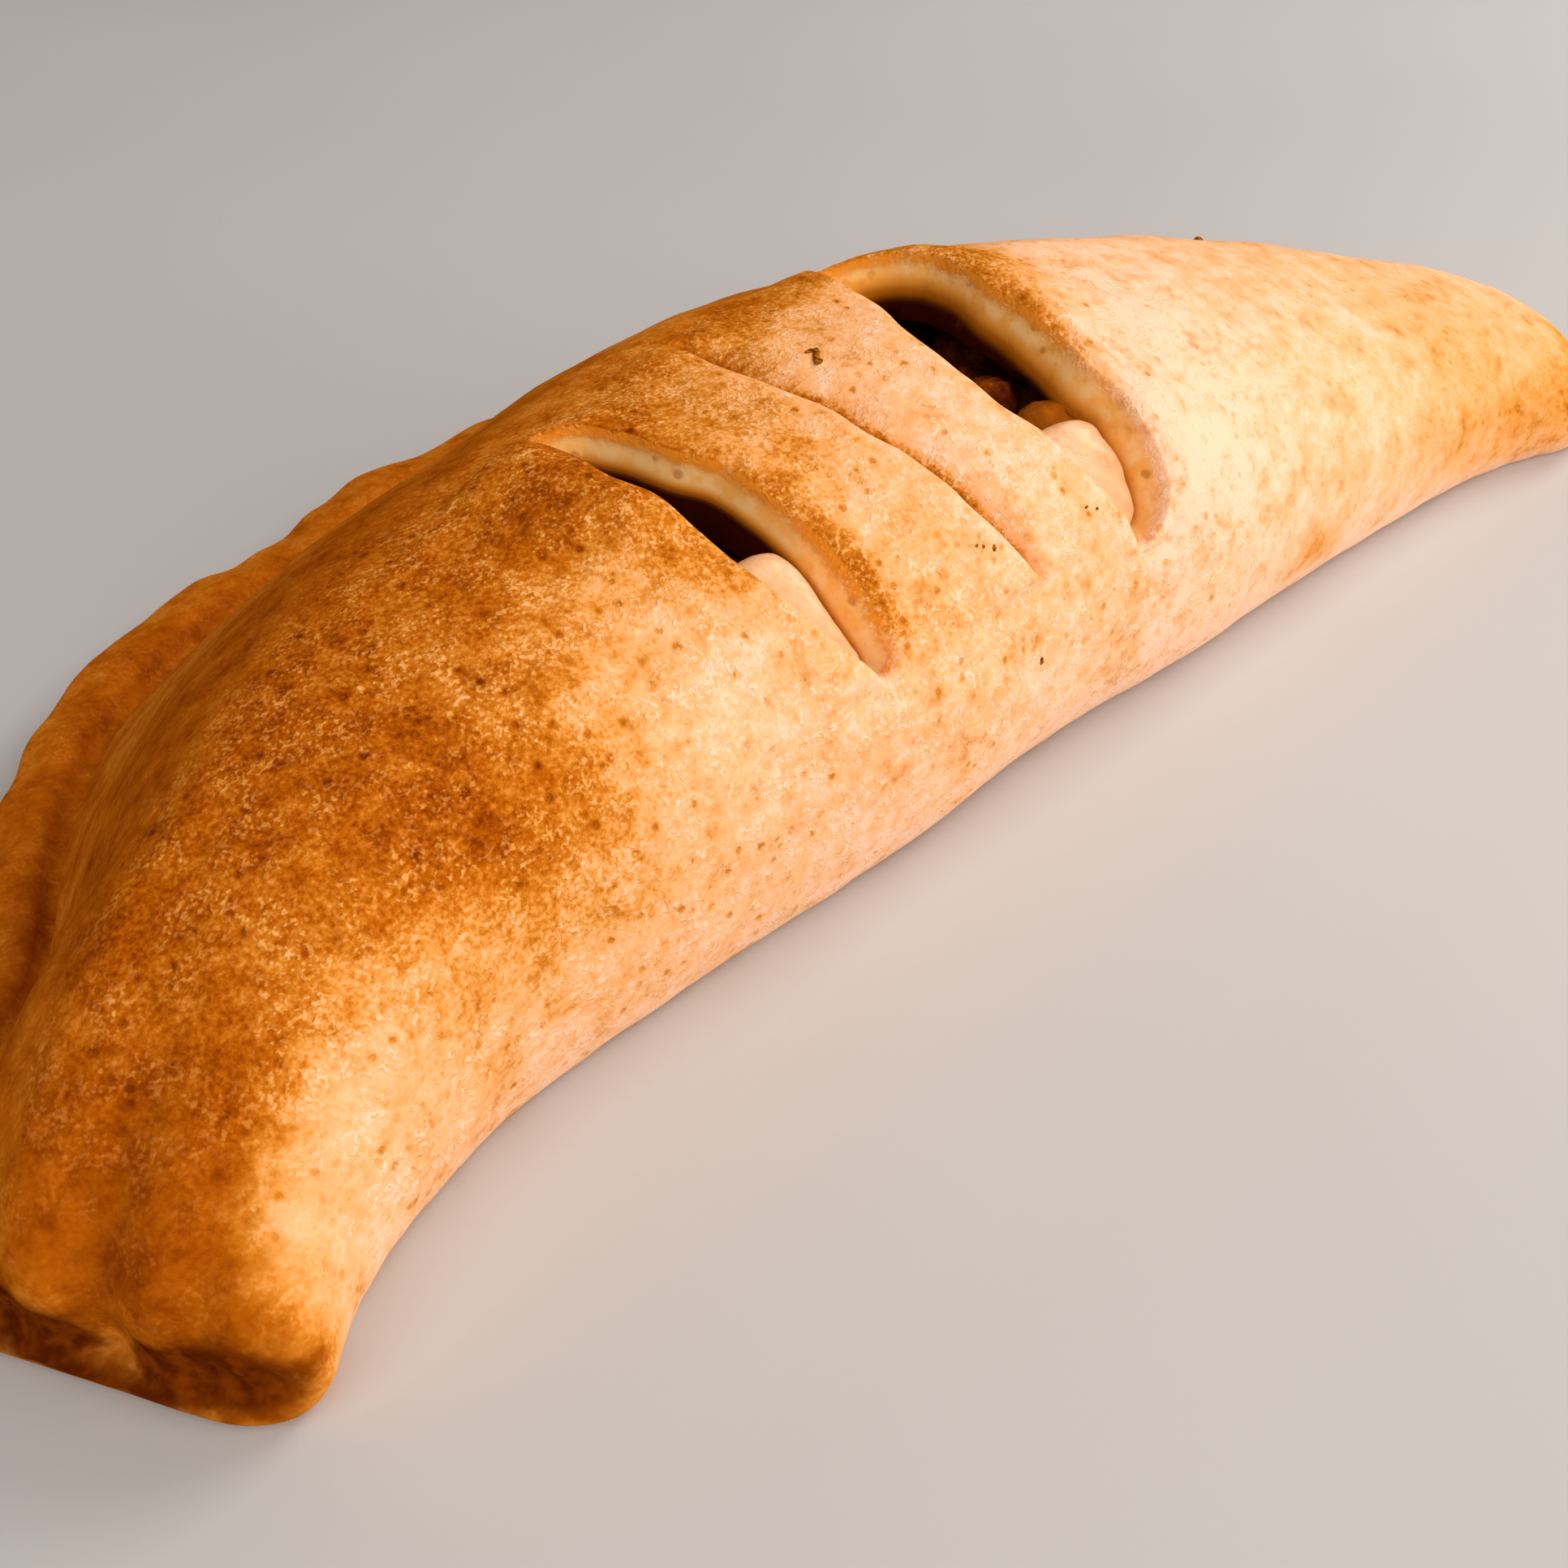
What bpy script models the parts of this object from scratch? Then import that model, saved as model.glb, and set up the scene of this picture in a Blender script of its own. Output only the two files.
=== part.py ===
"""Baked stromboli: a folded half-moon of pizza dough with three slits across its top.

The dough is one hollow crust. Its near side is the smooth fold, its far side is the crimped
seam, the left end is blunt and pleated and the right end runs out to a pinched tip. Through
the first and third slit the meat filling and the melted cheese show, and both run on inside
the crust. The second slit is a closed groove.

Every surface is worked out on one curved frame: `along` runs from 0 at the left end to 1 at
the right tip, and `around` runs from 0 where the fold meets the table, over the top, to 1 at
the foot of the seam. Metres, +Z up, resting on z = 0.
"""
import math

import bmesh
import bpy
import numpy as np

# ---------------------------------------------------------------- driving dimensions (metres)
BEND_RADIUS = 0.300          # the loaf curves round this radius in plan
BEND_HALF_ANGLE = 0.522      # radians from the middle to either end
SEAM_WIDTH = 0.014           # crimped band along the far side
SEAM_HEIGHT = 0.009
SEAM_FLAT = 0.7              # share of the band that is flat, before its rounded edge
SEAM_SWELL = 0.12            # share by which the flat part rises in its middle
CRUST = 0.0070               # thickness of the baked top and sides
CRUST_FLOOR = 0.0050         # thickness of the baked bottom
TOUCH = 0.0005               # gap kept between pieces that lie on each other
SIDE_GAP = 0.0026            # gap kept round the sides of the filling, where the crust slopes

# one row for each rib: along, reach to the fold, reach to the seam, height of the ridge
RIBS = (
    (0.00, 0.0300, 0.0140, 0.0160),
    (0.05, 0.0275, 0.0298, 0.0280),
    (0.12, 0.0290, 0.0438, 0.0385),
    (0.24, 0.0395, 0.0685, 0.0465),
    (0.40, 0.0495, 0.0775, 0.0495),
    (0.56, 0.0500, 0.0730, 0.0490),
    (0.70, 0.0445, 0.0635, 0.0420),
    (0.82, 0.0360, 0.0520, 0.0325),
    (0.92, 0.0280, 0.0370, 0.0240),
    (1.00, 0.0250, 0.0200, 0.0130),
)
SEAM_SHARE, SEAM_SQUAT = 0.35, 0.50         # the band's greatest share of the reach, of the height
LEFT_NOSE, RIGHT_NOSE = 0.022, 0.050        # share of the length that each end takes to close
LEFT_BLUNT, RIGHT_BLUNT = 2.8, 2.2          # how square each end is
NOSE_LOW, NOSE_SQUAT = 0.30, 0.70           # height that an end closes to, and how late it drops
WAIST = 0.28                                # height of the fold's widest line, as a share
BULGE = 2.35                                # fullness of the fold side
SLOPE_REACH, SLOPE_FLARE = 1.80, 1.30       # fullness of the back slope and of its foot
TUCK = 0.10                                 # share by which the fold draws in under itself

# where the section changes from one curve to the next, as shares of `around`
SIDE_END, RIDGE, VALLEY = 0.10, 0.46, 0.88

# each slit: along at the middle; swing of its front end towards the tip, the power by which
# the swing holds on and the power by which it ends; kick of its back end; around at both ends;
# width of the hole and of the sloping far wall; depth; rise of the near and the far lip at the
# back, and the share of that rise that the front half has
SLITS = {
    "left": dict(along=0.3165, swing=0.0260, hold=1.0, power=3.2, kick=0.0, front=0.200,
                 back=0.492, hole=0.0104, wall=0.0026, depth=None, near_rise=0.0034,
                 far_rise=0.0012, front_rise=0.25),
    "middle": dict(along=0.4180, swing=0.0340, hold=1.0, power=2.6, kick=-0.0080, front=0.200,
                   back=0.510, hole=0.0006, wall=0.0110, depth=0.0036, near_rise=0.0014,
                   far_rise=0.0004, front_rise=1.0),
    "right": dict(along=0.4866, swing=0.0380, hold=1.6, power=5.0, kick=0.0200, front=0.178,
                  back=0.535, hole=0.0172, wall=0.0026, depth=None, near_rise=0.0014,
                  far_rise=0.0032, front_rise=0.35),
}
KICK_SHARES = (0.45, 0.95)   # shares of a slit's length between which its back end swings
RISE_SHARES = (0.42, 0.72)   # and between which its near lip rises to its full height
SLIT_FULL = 0.6              # how full a slit is towards its ends
NEAR_LIP = (-0.0030, 0.0090) # where the rise of each lip is highest, from its edge, and its width
FAR_LIP = (0.0020, 0.0085)
BLADE_OVER = 0.0060          # a blade starts this far above the skin
BLADE_THROUGH = 0.0040       # and an open slit's blade ends this far inside the hollow
THIN_EDGE = 0.0006           # width of a blade at its two ends
# swelling behind the slits: its place, how far it reaches along and around, and its rise
BACK_SWELL = dict(along=0.45, around=0.56, length=0.028, width=0.088, rise=0.0026)

# pinches of the seam: along, how far the edge draws in, how long the pinch is
PINCHES = ((0.110, 0.0018, 0.010), (0.340, 0.0024, 0.010), (0.430, 0.0006, 0.008),
           (0.530, 0.0034, 0.009), (0.640, 0.0024, 0.008), (0.750, 0.0034, 0.009),
           (0.850, 0.0020, 0.008))
PINCH_SINK = 0.6             # a pinch lowers the band by this share of what it draws in
# crease between the two lobes of the left end: it fades out `run` along the loaf and at the table
END_CREASE = dict(across=-0.0085, depth=0.0024, width=0.0035, run=0.045, foot=0.004, lean=0.5)

# the hollow, and how the filling and the cheese share it
HOLLOW_SPAN = (0.10, 0.90)
HOLLOW_BLUNT = 0.4           # how square its two ends are
HOLLOW_END = 0.82            # the hollow stops here, short of the seam
HOLLOW_RIBS = 43
END_RIBS = 3                 # the filling stops this many ribs short of the hollow's ends
FILLING_SHARE = 0.55         # height of the filling as a share of the hollow
LUMP_RISE = 0.0028           # the crumbled meat stands this far out of its bed
LUMP_START = 0.004           # and starts this far behind the cheese
LUMP_LIFT = 0.4              # share of the rise by which all the meat stands over the bed
LUMP_HEAP = 0.0055           # the meat behind the cheese is heaped this much over the bed
LUMPS_ALONG = (118, 260, 1.3)    # waves along the loaf, and how they wander across it
LUMPS_ACROSS = (390, 95, 1.0)    # waves for each metre across, and how they wander along it
CHEESE_BACK = -0.020         # the cheese lies on the fold side of this line
CHEESE_FRONT = 0.20          # `around` where it starts
CHEESE_SPAN = (0.23, 0.72)
CHEESE_EDGE = 0.25           # thickness of its rounded back edge, as a share
CHEESE_THIN = 0.0008         # least thickness of the cheese
CHEESE_GAP = 0.0010          # it stays this clear of the crust
BED_GAP = 0.0006             # and this far above the filling
OPEN_SLITS = ("left", "right")
SWELL_DROP = 0.0022          # the swelling stops this far below the skin
SWELL_DEPTH = 0.0025         # and reaches this far into the hollow
SWELL_GAP = 0.0012           # and this far inside the slit's sides
SWELL_SHARES = (0.05, 0.42)  # shares of the slit's length that it fills


# ---------------------------------------------------------------- the curved frame
def smooth_between(x, knots, values):
    """Curve through the rows of a table without overshoot (monotone cubic)."""
    knots, values = np.asarray(knots, float), np.asarray(values, float)
    gap = np.diff(knots)
    slope = np.diff(values) / gap
    tangent = np.zeros_like(values)
    tangent[0], tangent[-1] = slope[0], slope[-1]
    left, right = 2 * gap[1:] + gap[:-1], gap[1:] + 2 * gap[:-1]
    same_way = slope[:-1] * slope[1:] > 0
    safe = np.where(same_way, slope[:-1], 1.0), np.where(same_way, slope[1:], 1.0)
    tangent[1:-1] = np.where(same_way, (left + right) / (left / safe[0] + right / safe[1]), 0.0)
    x = np.clip(x, knots[0], knots[-1])
    row = np.clip(np.searchsorted(knots, x, side="right") - 1, 0, len(gap) - 1)
    u = (x - knots[row]) / gap[row]
    start = (1 + 2 * u) * (1 - u) ** 2 * values[row] + u * (1 - u) ** 2 * gap[row] * tangent[row]
    end = u ** 2 * (3 - 2 * u) * values[row + 1] + u ** 2 * (u - 1) * gap[row] * tangent[row + 1]
    return start + end


def rib_sizes(along):
    """Reach to the fold, reach to the seam and height of the ridge at `along`."""
    table = np.array(RIBS)
    return tuple(smooth_between(along, table[:, 0], table[:, k]) for k in (1, 2, 3))


def nose(along):
    """1 along the body, falling to 0 at both ends like the side of a rounded nose."""
    left = np.clip(along / LEFT_NOSE, 0, 1)
    right = np.clip((1 - along) / RIGHT_NOSE, 0, 1)
    left_side = (1 - (1 - left) ** LEFT_BLUNT) ** (1 / LEFT_BLUNT)
    return left_side * (1 - (1 - right) ** RIGHT_BLUNT) ** (1 / RIGHT_BLUNT)


def bend(along, across, height):
    """Carry a point of the straight section on to the bent loaf."""
    angle = (2 * along - 1) * BEND_HALF_ANGLE
    x = (BEND_RADIUS + across) * np.sin(angle)
    y = (BEND_RADIUS + across) * np.cos(angle) - BEND_RADIUS * math.cos(BEND_HALF_ANGLE)
    return np.stack([x, y, height], axis=-1)


def arc_length(along_a, along_b):
    return (along_b - along_a) * 2 * BEND_HALF_ANGLE * BEND_RADIUS


def profile(around, fold, seam, high, band, band_top):
    """Half-moon section: tucked side, front bulge, back slope, then the seam band."""
    waist = WAIST * high
    u = np.clip(around / SIDE_END, 0, 1)
    side = (-fold + TUCK * fold * (1 - u) ** 2, waist * u)
    angle = np.clip((around - SIDE_END) / (RIDGE - SIDE_END), 0, 1) * math.pi / 2
    front = (-fold * np.cos(angle).clip(0) ** (2 / BULGE),
             waist + (high - waist) * np.sin(angle).clip(0) ** (2 / BULGE))
    u = np.clip((around - RIDGE) / (VALLEY - RIDGE), 0, 1)
    slope = (u * (seam - band), band_top + (high - band_top) * (1 - u ** SLOPE_REACH) ** SLOPE_FLARE)
    u = (around - VALLEY) / (1 - VALLEY)
    flat = np.clip(2 * u, 0, 1)
    edge = np.clip(2 * u - 1, 0, 1) * math.pi / 2
    lip = (seam - band + SEAM_FLAT * band * flat + (1 - SEAM_FLAT) * band * np.sin(edge),
           band_top * (1 + SEAM_SWELL * np.sin(flat * math.pi)) * np.cos(edge))
    where = [around < SIDE_END, around < RIDGE, around < VALLEY]
    return (np.select(where, [side[0], front[0], slope[0]], lip[0]),
            np.select(where, [side[1], front[1], slope[1]], lip[1]))


def section(along, around):
    """Across and height of the plain outer form, closed to a rounded nose at both ends."""
    fold, seam, high = rib_sizes(along)
    band_top = np.minimum(SEAM_HEIGHT, SEAM_SQUAT * high)
    for place, depth, length in PINCHES:
        pinch = depth * np.exp(-(arc_length(place, along) / length) ** 2)
        seam, band_top = seam - pinch, band_top - PINCH_SINK * pinch
    band = np.minimum(SEAM_WIDTH, SEAM_SHARE * seam)
    across, height = profile(around, fold, seam, high, band, band_top)
    close = nose(along)
    middle, low = (seam - fold) / 2, NOSE_LOW * high
    return middle + (across - middle) * close, low + (height - low) * close ** NOSE_SQUAT


def plain_skin(along, around):
    along, around = np.broadcast_arrays(np.asarray(along, float), np.asarray(around, float))
    return bend(along, *section(along, around))


def outward(along, around):
    """Unit normal of the plain skin, from differences along and around it."""
    step = 0.002
    run = plain_skin(along + step, around) - plain_skin(along - step, around)
    before, after = np.clip(around - step, 0, 1), np.clip(around + step, 0, 1)
    rise = plain_skin(along, after) - plain_skin(along, before)
    normal = np.cross(run, rise)
    length = np.linalg.norm(normal, axis=-1, keepdims=True)
    return normal / np.maximum(length, 1e-12)


# ---------------------------------------------------------------- slits and relief
def slit_share(slit, around):
    """0 at the front end of a slit, 1 at its back end."""
    return np.clip((around - slit["front"]) / (slit["back"] - slit["front"]), 0, 1)


def slit_lens(slit, around):
    """Opening of a slit: 0 at both ends, 1 in the middle, with full, rounded ends."""
    share = slit_share(slit, around)
    return (4 * share * (1 - share)).clip(0) ** SLIT_FULL


def smooth_step(x):
    """0 below 0, 1 above 1, and 3x^2 - 2x^3 between."""
    x = np.clip(x, 0, 1)
    return x * x * (3 - 2 * x)


def between(share, shares):
    """Smooth step from 0 at the first of two shares to 1 at the second."""
    return smooth_step((share - shares[0]) / (shares[1] - shares[0]))


def near_lip(slit, around):
    """`along` of the near lip: straight, with both ends swung towards the tip."""
    share = slit_share(slit, around)
    front = slit["swing"] * (1 - share ** slit["hold"]) ** slit["power"]
    return slit["along"] + front + slit["kick"] * between(share, KICK_SHARES)


def relief(along, around):
    """How far the skin stands out of the plain form: the swelling behind the slits, and the
    raised lips of the slits."""
    swell = BACK_SWELL
    out = swell["rise"] * np.exp(-(arc_length(swell["along"], along) / swell["length"]) ** 2
                                 - ((around - swell["around"]) / swell["width"]) ** 2)
    for slit in SLITS.values():
        lens = slit_lens(slit, around)
        near = arc_length(near_lip(slit, around), along)
        far = near - (slit["hole"] + slit["wall"]) * lens
        near_bump = np.exp(-((near - NEAR_LIP[0]) / NEAR_LIP[1]) ** 2)
        far_bump = np.exp(-((far - FAR_LIP[0]) / FAR_LIP[1]) ** 2)
        back = between(slit_share(slit, around), RISE_SHARES)
        rise = slit["front_rise"] + (1 - slit["front_rise"]) * back
        out = out + rise * np.sqrt(lens) * (slit["near_rise"] * near_bump
                                            + slit["far_rise"] * far_bump)
    return out


def crust_skin(along, around):
    """The outer skin of the crust with its raised lips and the crease between the end lobes."""
    along, around = np.broadcast_arrays(np.asarray(along, float), np.asarray(around, float))
    points = plain_skin(along, around) + outward(along, around) * relief(along, around)[..., None]
    across, height = section(along, around)
    crease = END_CREASE
    groove = np.exp(-((across - crease["across"]) / crease["width"]) ** 2)
    groove = groove * np.exp(-(along / crease["run"]) ** 2) * np.clip(height / crease["foot"], 0, 1)
    angle = (2 * along - 1) * BEND_HALF_ANGLE
    down = np.full_like(angle, -crease["lean"])
    inward = np.stack([np.cos(angle), -np.sin(angle), down], axis=-1)
    return points + inward * (crease["depth"] * groove)[..., None]


# ---------------------------------------------------------------- mesh helpers
def clear_scene():
    for item in list(bpy.data.objects):
        bpy.data.objects.remove(item, do_unlink=True)


def baked_material(name, colour, roughness):
    material = bpy.data.materials.new(name)
    material.use_nodes = True
    shader = material.node_tree.nodes["Principled BSDF"]
    shader.inputs["Base Color"].default_value = (*colour, 1.0)
    shader.inputs["Roughness"].default_value = roughness
    shader.inputs["Metallic"].default_value = 0.0
    return material


def add_loft(name, rings):
    """Closed loft: rings is an array (ring, point, 3); each end is capped by one face fan."""
    mesh = bpy.data.meshes.new(name)
    work = bmesh.new()
    rows = [[work.verts.new(point) for point in ring] for ring in rings]
    for row_a, row_b in zip(rows[:-1], rows[1:]):
        for k in range(len(row_a)):
            m = (k + 1) % len(row_a)
            work.faces.new((row_a[k], row_a[m], row_b[m], row_b[k]))
    for row in (rows[0], rows[-1]):
        work.faces.new(row)
    bmesh.ops.remove_doubles(work, verts=work.verts, dist=0.00002)
    bmesh.ops.dissolve_degenerate(work, edges=work.edges, dist=0.00001)
    bmesh.ops.recalc_face_normals(work, faces=work.faces)
    work.to_mesh(mesh)
    work.free()
    item = bpy.data.objects.new(name, mesh)
    bpy.context.scene.collection.objects.link(item)
    return item


def as_cutter(item):
    item.hide_render = True
    item.display_type = "WIRE"
    return item


def add_boolean(target, tool, operation):
    step = target.modifiers.new(tool.name, "BOOLEAN")
    step.operation = operation
    step.object = tool
    step.solver = "EXACT"


def finish(item, material, smooth_angle=50):
    item.data.materials.append(material)
    item.data.shade_smooth()
    item.data.set_sharp_from_angle(angle=math.radians(smooth_angle))


# ---------------------------------------------------------------- the pieces
def rib_places():
    """Ribs close together at the two ends and by the slits, wider apart between them."""
    ends = np.concatenate([LEFT_NOSE * (1 - np.cos(np.linspace(0.0, 0.5, 6) * math.pi)),
                           1 - RIGHT_NOSE * (1 - np.cos(np.linspace(0.0, 0.5, 6) * math.pi))])
    body = np.linspace(LEFT_NOSE, 1 - RIGHT_NOSE, 44)[1:-1]
    return np.sort(np.concatenate([ends, body]))


def add_crust():
    """Outer form: each rib runs over the top and back along the table."""
    along = rib_places()[:, None]
    top = np.concatenate([np.linspace(0, SIDE_END, 4)[:-1], np.linspace(SIDE_END, RIDGE, 13)[:-1],
                          np.linspace(RIDGE, VALLEY, 10)[:-1], np.linspace(VALLEY, 1, 6)])
    over = crust_skin(along, top[None, :])
    share = np.linspace(0, 1, 6)[1:-1][None, :, None]
    under = over[:, -1:, :] * (1 - share) + over[:, :1, :] * share
    return add_loft("dough", np.concatenate([over, under], axis=1))


def hollow_size(along, inset):
    """The hollow's own fold, seam and height, tapering to nothing at its two ends."""
    fold, seam, high = rib_sizes(along)
    start, end = HOLLOW_SPAN
    place = np.clip((along - start) / (end - start), 0, 1)
    close = (4 * place * (1 - place)).clip(0.0001) ** HOLLOW_BLUNT
    back = seam - np.minimum(SEAM_WIDTH, SEAM_SHARE * seam) - CRUST
    roof = CRUST_FLOOR + (high - CRUST - CRUST_FLOOR) * close
    return (fold - CRUST) * close - inset, back * close - inset, CRUST_FLOOR + inset, roof - inset


def hollow_skin(along, around, inset):
    """Over the hollow's top from its fold side to its seam side; around as on the outside."""
    fold, back, floor, roof = hollow_size(along, inset)
    across, height = profile(around, fold, back, roof - floor, 0.0, 0.0)
    return across, floor + height


def hollow_places(count):
    """Ribs of the hollow, closer together near its ends."""
    start, end = HOLLOW_SPAN
    share = (1 - np.cos(np.linspace(0, math.pi, count))) / 2
    return (start + (end - start) * share)[:, None]


def close_on_floor(across, height, floor, count):
    """Drop the end of each row of points to the floor and run back to where it starts."""
    share = np.linspace(0, 1, count + 2)[None, :-1]
    back = across[:, -1:] * (1 - share) + across[:, :1] * share
    low = np.broadcast_to(floor, back.shape)
    return np.concatenate([across, back], axis=1), np.concatenate([height, low], axis=1)


def loft_from(name, along, across, height):
    return add_loft(name, bend(np.broadcast_to(along, across.shape), across, height))


def add_hollow():
    along = hollow_places(HOLLOW_RIBS)
    around = np.concatenate([np.linspace(0, RIDGE, 12)[:-1], np.linspace(RIDGE, HOLLOW_END, 10)])
    across, height = hollow_skin(along, around[None, :], 0.0)
    return as_cutter(loft_from("hollow", along, *close_on_floor(across, height, CRUST_FLOOR, 3)))


def add_blade(name, slit, over, under, trim=0.0, shares=(0.004, 0.996)):
    """Lens-shaped blade that follows a slit: from `over` above the skin to `under` below it.

    The near side is steep and the far side slopes as the cut wall does. `trim` narrows the
    blade all round, and it runs between the two `shares` of the slit's length.
    """
    place = (1 - np.cos(np.linspace(0, 1, 17) * math.pi)) / 2
    share = shares[0] + (shares[1] - shares[0]) * place
    around = slit["front"] + share * (slit["back"] - slit["front"])
    rounding = (1 - (2 * place - 1).clip(0) ** 3).clip(0) ** 0.5 if trim else 1.0
    lens = slit_lens(slit, around) * rounding
    near = near_lip(slit, around)
    hole = np.maximum(slit["hole"] * lens - 2 * trim, THIN_EDGE)
    slope = slit["wall"] * lens * (over + CRUST) / CRUST
    corners = ((trim, over), (trim + hole + slope, over), (trim + hole, -under), (trim, -under))
    angle = (2 * near - 1) * BEND_HALF_ANGLE
    tangent = np.stack([np.cos(angle), -np.sin(angle), np.zeros_like(angle)], axis=-1)
    skin, normal = plain_skin(near, around), outward(near, around)
    rings = [skin + normal * lift + tangent * np.reshape(step, (-1, 1)) for step, lift in corners]
    return add_loft(name, np.stack(rings, axis=1))


def add_slits(crust):
    """Cut the hollow and the three slits out of the crust."""
    add_boolean(crust, add_hollow(), "DIFFERENCE")
    for name, slit in SLITS.items():
        depth = slit["depth"] or CRUST + BLADE_THROUGH
        blade = as_cutter(add_blade("slit_" + name, slit, BLADE_OVER, depth))
        add_boolean(crust, blade, "DIFFERENCE")


def filling_bed(along):
    """Height of the level bed of filling."""
    _, _, floor, roof = hollow_size(along, TOUCH)
    return floor + FILLING_SHARE * (roof - floor)


def lump_wave(along, across):
    """Crossed waves that wander, from -1 to 1: the uneven top of the crumbled meat."""
    rate, wander_rate, wander = LUMPS_ALONG
    one = np.sin(along * rate + wander * np.sin(across * wander_rate))
    rate, wander_rate, wander = LUMPS_ACROSS
    return one * np.sin(across * rate + wander * np.sin(along * wander_rate))


def add_filling():
    """Meat and sauce: a level bed under the cheese, crumbled lumps behind it."""
    along = hollow_places(HOLLOW_RIBS)[END_RIBS:-END_RIBS]
    around = np.concatenate([np.linspace(0, RIDGE, 12)[:-1], np.linspace(RIDGE, HOLLOW_END, 28)])
    across, height = hollow_skin(along, around[None, :], SIDE_GAP)
    behind = np.clip((across - CHEESE_BACK) / LUMP_START - 1, 0, 1)
    heap = LUMP_HEAP + LUMP_RISE * (LUMP_LIFT + lump_wave(along, across))
    top = filling_bed(along) + behind * heap
    rows = close_on_floor(across, np.minimum(height, top), CRUST_FLOOR + TOUCH, 2)
    return loft_from("filling", along, *rows)


def around_on_fold(across, fold):
    """`around` at which the bulge of the profile has this much `across`."""
    angle = np.arccos(np.clip(-across / fold, 0, 1) ** (BULGE / 2))
    return SIDE_END + angle / (math.pi / 2) * (RIDGE - SIDE_END)


def add_cheese():
    """Melted cheese: a bed on the fold side of the filling that swells up into two slits."""
    start, end = CHEESE_SPAN
    along = np.linspace(start, end, 25)[:, None]
    fold, _, _, _ = hollow_size(along, CHEESE_GAP)
    last = around_on_fold(CHEESE_BACK, fold)
    share = np.linspace(0, 1, 12)[None, :]
    across, roof = hollow_skin(along, CHEESE_FRONT + share * (last - CHEESE_FRONT), CHEESE_GAP)
    low = filling_bed(along) + BED_GAP
    place = (along - start) / (end - start)
    swell = (4 * place * (1 - place)).clip(0.02) ** HOLLOW_BLUNT
    rounded = CHEESE_EDGE + (1 - CHEESE_EDGE) * (1 - share ** 6) ** 0.5
    top = low + np.maximum(roof - low, CHEESE_THIN) * rounded * swell
    across = np.concatenate([across, across[:, ::-1]], axis=1)
    height = np.concatenate([top, np.broadcast_to(low, top.shape)], axis=1)
    cheese = loft_from("cheese", along, across, height)
    for name in OPEN_SLITS:
        swelling = add_blade("swelling_" + name, SLITS[name], -SWELL_DROP, CRUST + SWELL_DEPTH,
                             SWELL_GAP, SWELL_SHARES)
        add_boolean(cheese, as_cutter(swelling), "UNION")
    return cheese


def centre_on_origin(crust):
    """Hang every piece on one empty that brings the middle of the loaf's plan to the origin."""
    places = np.array([vertex.co for vertex in crust.data.vertices])
    middle = (places.min(axis=0) + places.max(axis=0)) / 2
    frame = bpy.data.objects.new("loaf_frame", None)
    bpy.context.scene.collection.objects.link(frame)
    frame.location = (-middle[0], -middle[1], 0.0)
    for item in bpy.data.objects:
        if item.type == "MESH":
            item.parent = frame


def build():
    clear_scene()
    crust = add_crust()
    add_slits(crust)
    finish(crust, baked_material("baked dough", (0.62, 0.33, 0.10), 0.55))
    finish(add_cheese(), baked_material("melted cheese", (0.86, 0.66, 0.38), 0.30))
    finish(add_filling(), baked_material("meat in sauce", (0.11, 0.030, 0.012), 0.40))
    centre_on_origin(crust)


build()
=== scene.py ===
# %% [markdown]
# # Dressing a baked stromboli
#
# A round of dough is folded over its filling, crimped along the back, cut three times across the
# top and baked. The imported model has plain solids: crust, cheese and meat filling. This file
# builds the same loaf again, at the same size, with the surface that baking gives it.

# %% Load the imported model
import math
from functools import partialmethod
from types import SimpleNamespace as Slit

import bmesh
import bpy
import numpy as np
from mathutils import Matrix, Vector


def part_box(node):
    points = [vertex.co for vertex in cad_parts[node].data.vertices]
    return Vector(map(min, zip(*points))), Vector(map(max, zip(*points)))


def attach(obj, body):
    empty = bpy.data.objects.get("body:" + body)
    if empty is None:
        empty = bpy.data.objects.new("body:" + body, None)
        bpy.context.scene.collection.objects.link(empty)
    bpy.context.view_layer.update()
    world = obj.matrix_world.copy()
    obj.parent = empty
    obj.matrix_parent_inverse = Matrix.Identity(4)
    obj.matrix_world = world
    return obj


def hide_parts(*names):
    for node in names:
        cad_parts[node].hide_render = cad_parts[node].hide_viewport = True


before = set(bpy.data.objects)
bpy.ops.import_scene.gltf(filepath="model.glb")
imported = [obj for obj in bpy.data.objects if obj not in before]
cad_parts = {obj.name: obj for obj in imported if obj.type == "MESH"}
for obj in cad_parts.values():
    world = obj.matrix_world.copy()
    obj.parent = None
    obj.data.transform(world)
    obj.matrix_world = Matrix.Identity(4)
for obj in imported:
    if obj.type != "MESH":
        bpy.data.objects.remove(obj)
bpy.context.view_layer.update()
print("packed pieces:", sorted(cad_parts))

# %% [markdown]
# ## The camera
#
# The photograph was taken from close by and above, so the near end looks much larger. A camera is
# matched by its place, the way it looks and how many pixels one unit of slope covers. The last
# one sets the lens: one as long as the sensor is wide covers a picture's width at a slope of one.

# %% Camera at the photograph's view
PICTURE_SIDE, FOCAL_PIXELS = 1932, 2062
SENSOR, NEAREST = 36.0, 0.01  # millimetres, metres
CAMERA_PLACE = (-0.1581, -0.1591, 0.1464)
CAMERA_YAW, CAMERA_PITCH = math.radians(46.28), math.radians(39.91)


def add_item(name, data, place=(0, 0, 0), turn=(0, 0, 0)):
    """Put a camera, a lamp or a mesh into the scene."""
    item = bpy.data.objects.new(name, data)
    item.location, item.rotation_euler = place, turn
    bpy.context.scene.collection.objects.link(item)
    return item


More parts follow.
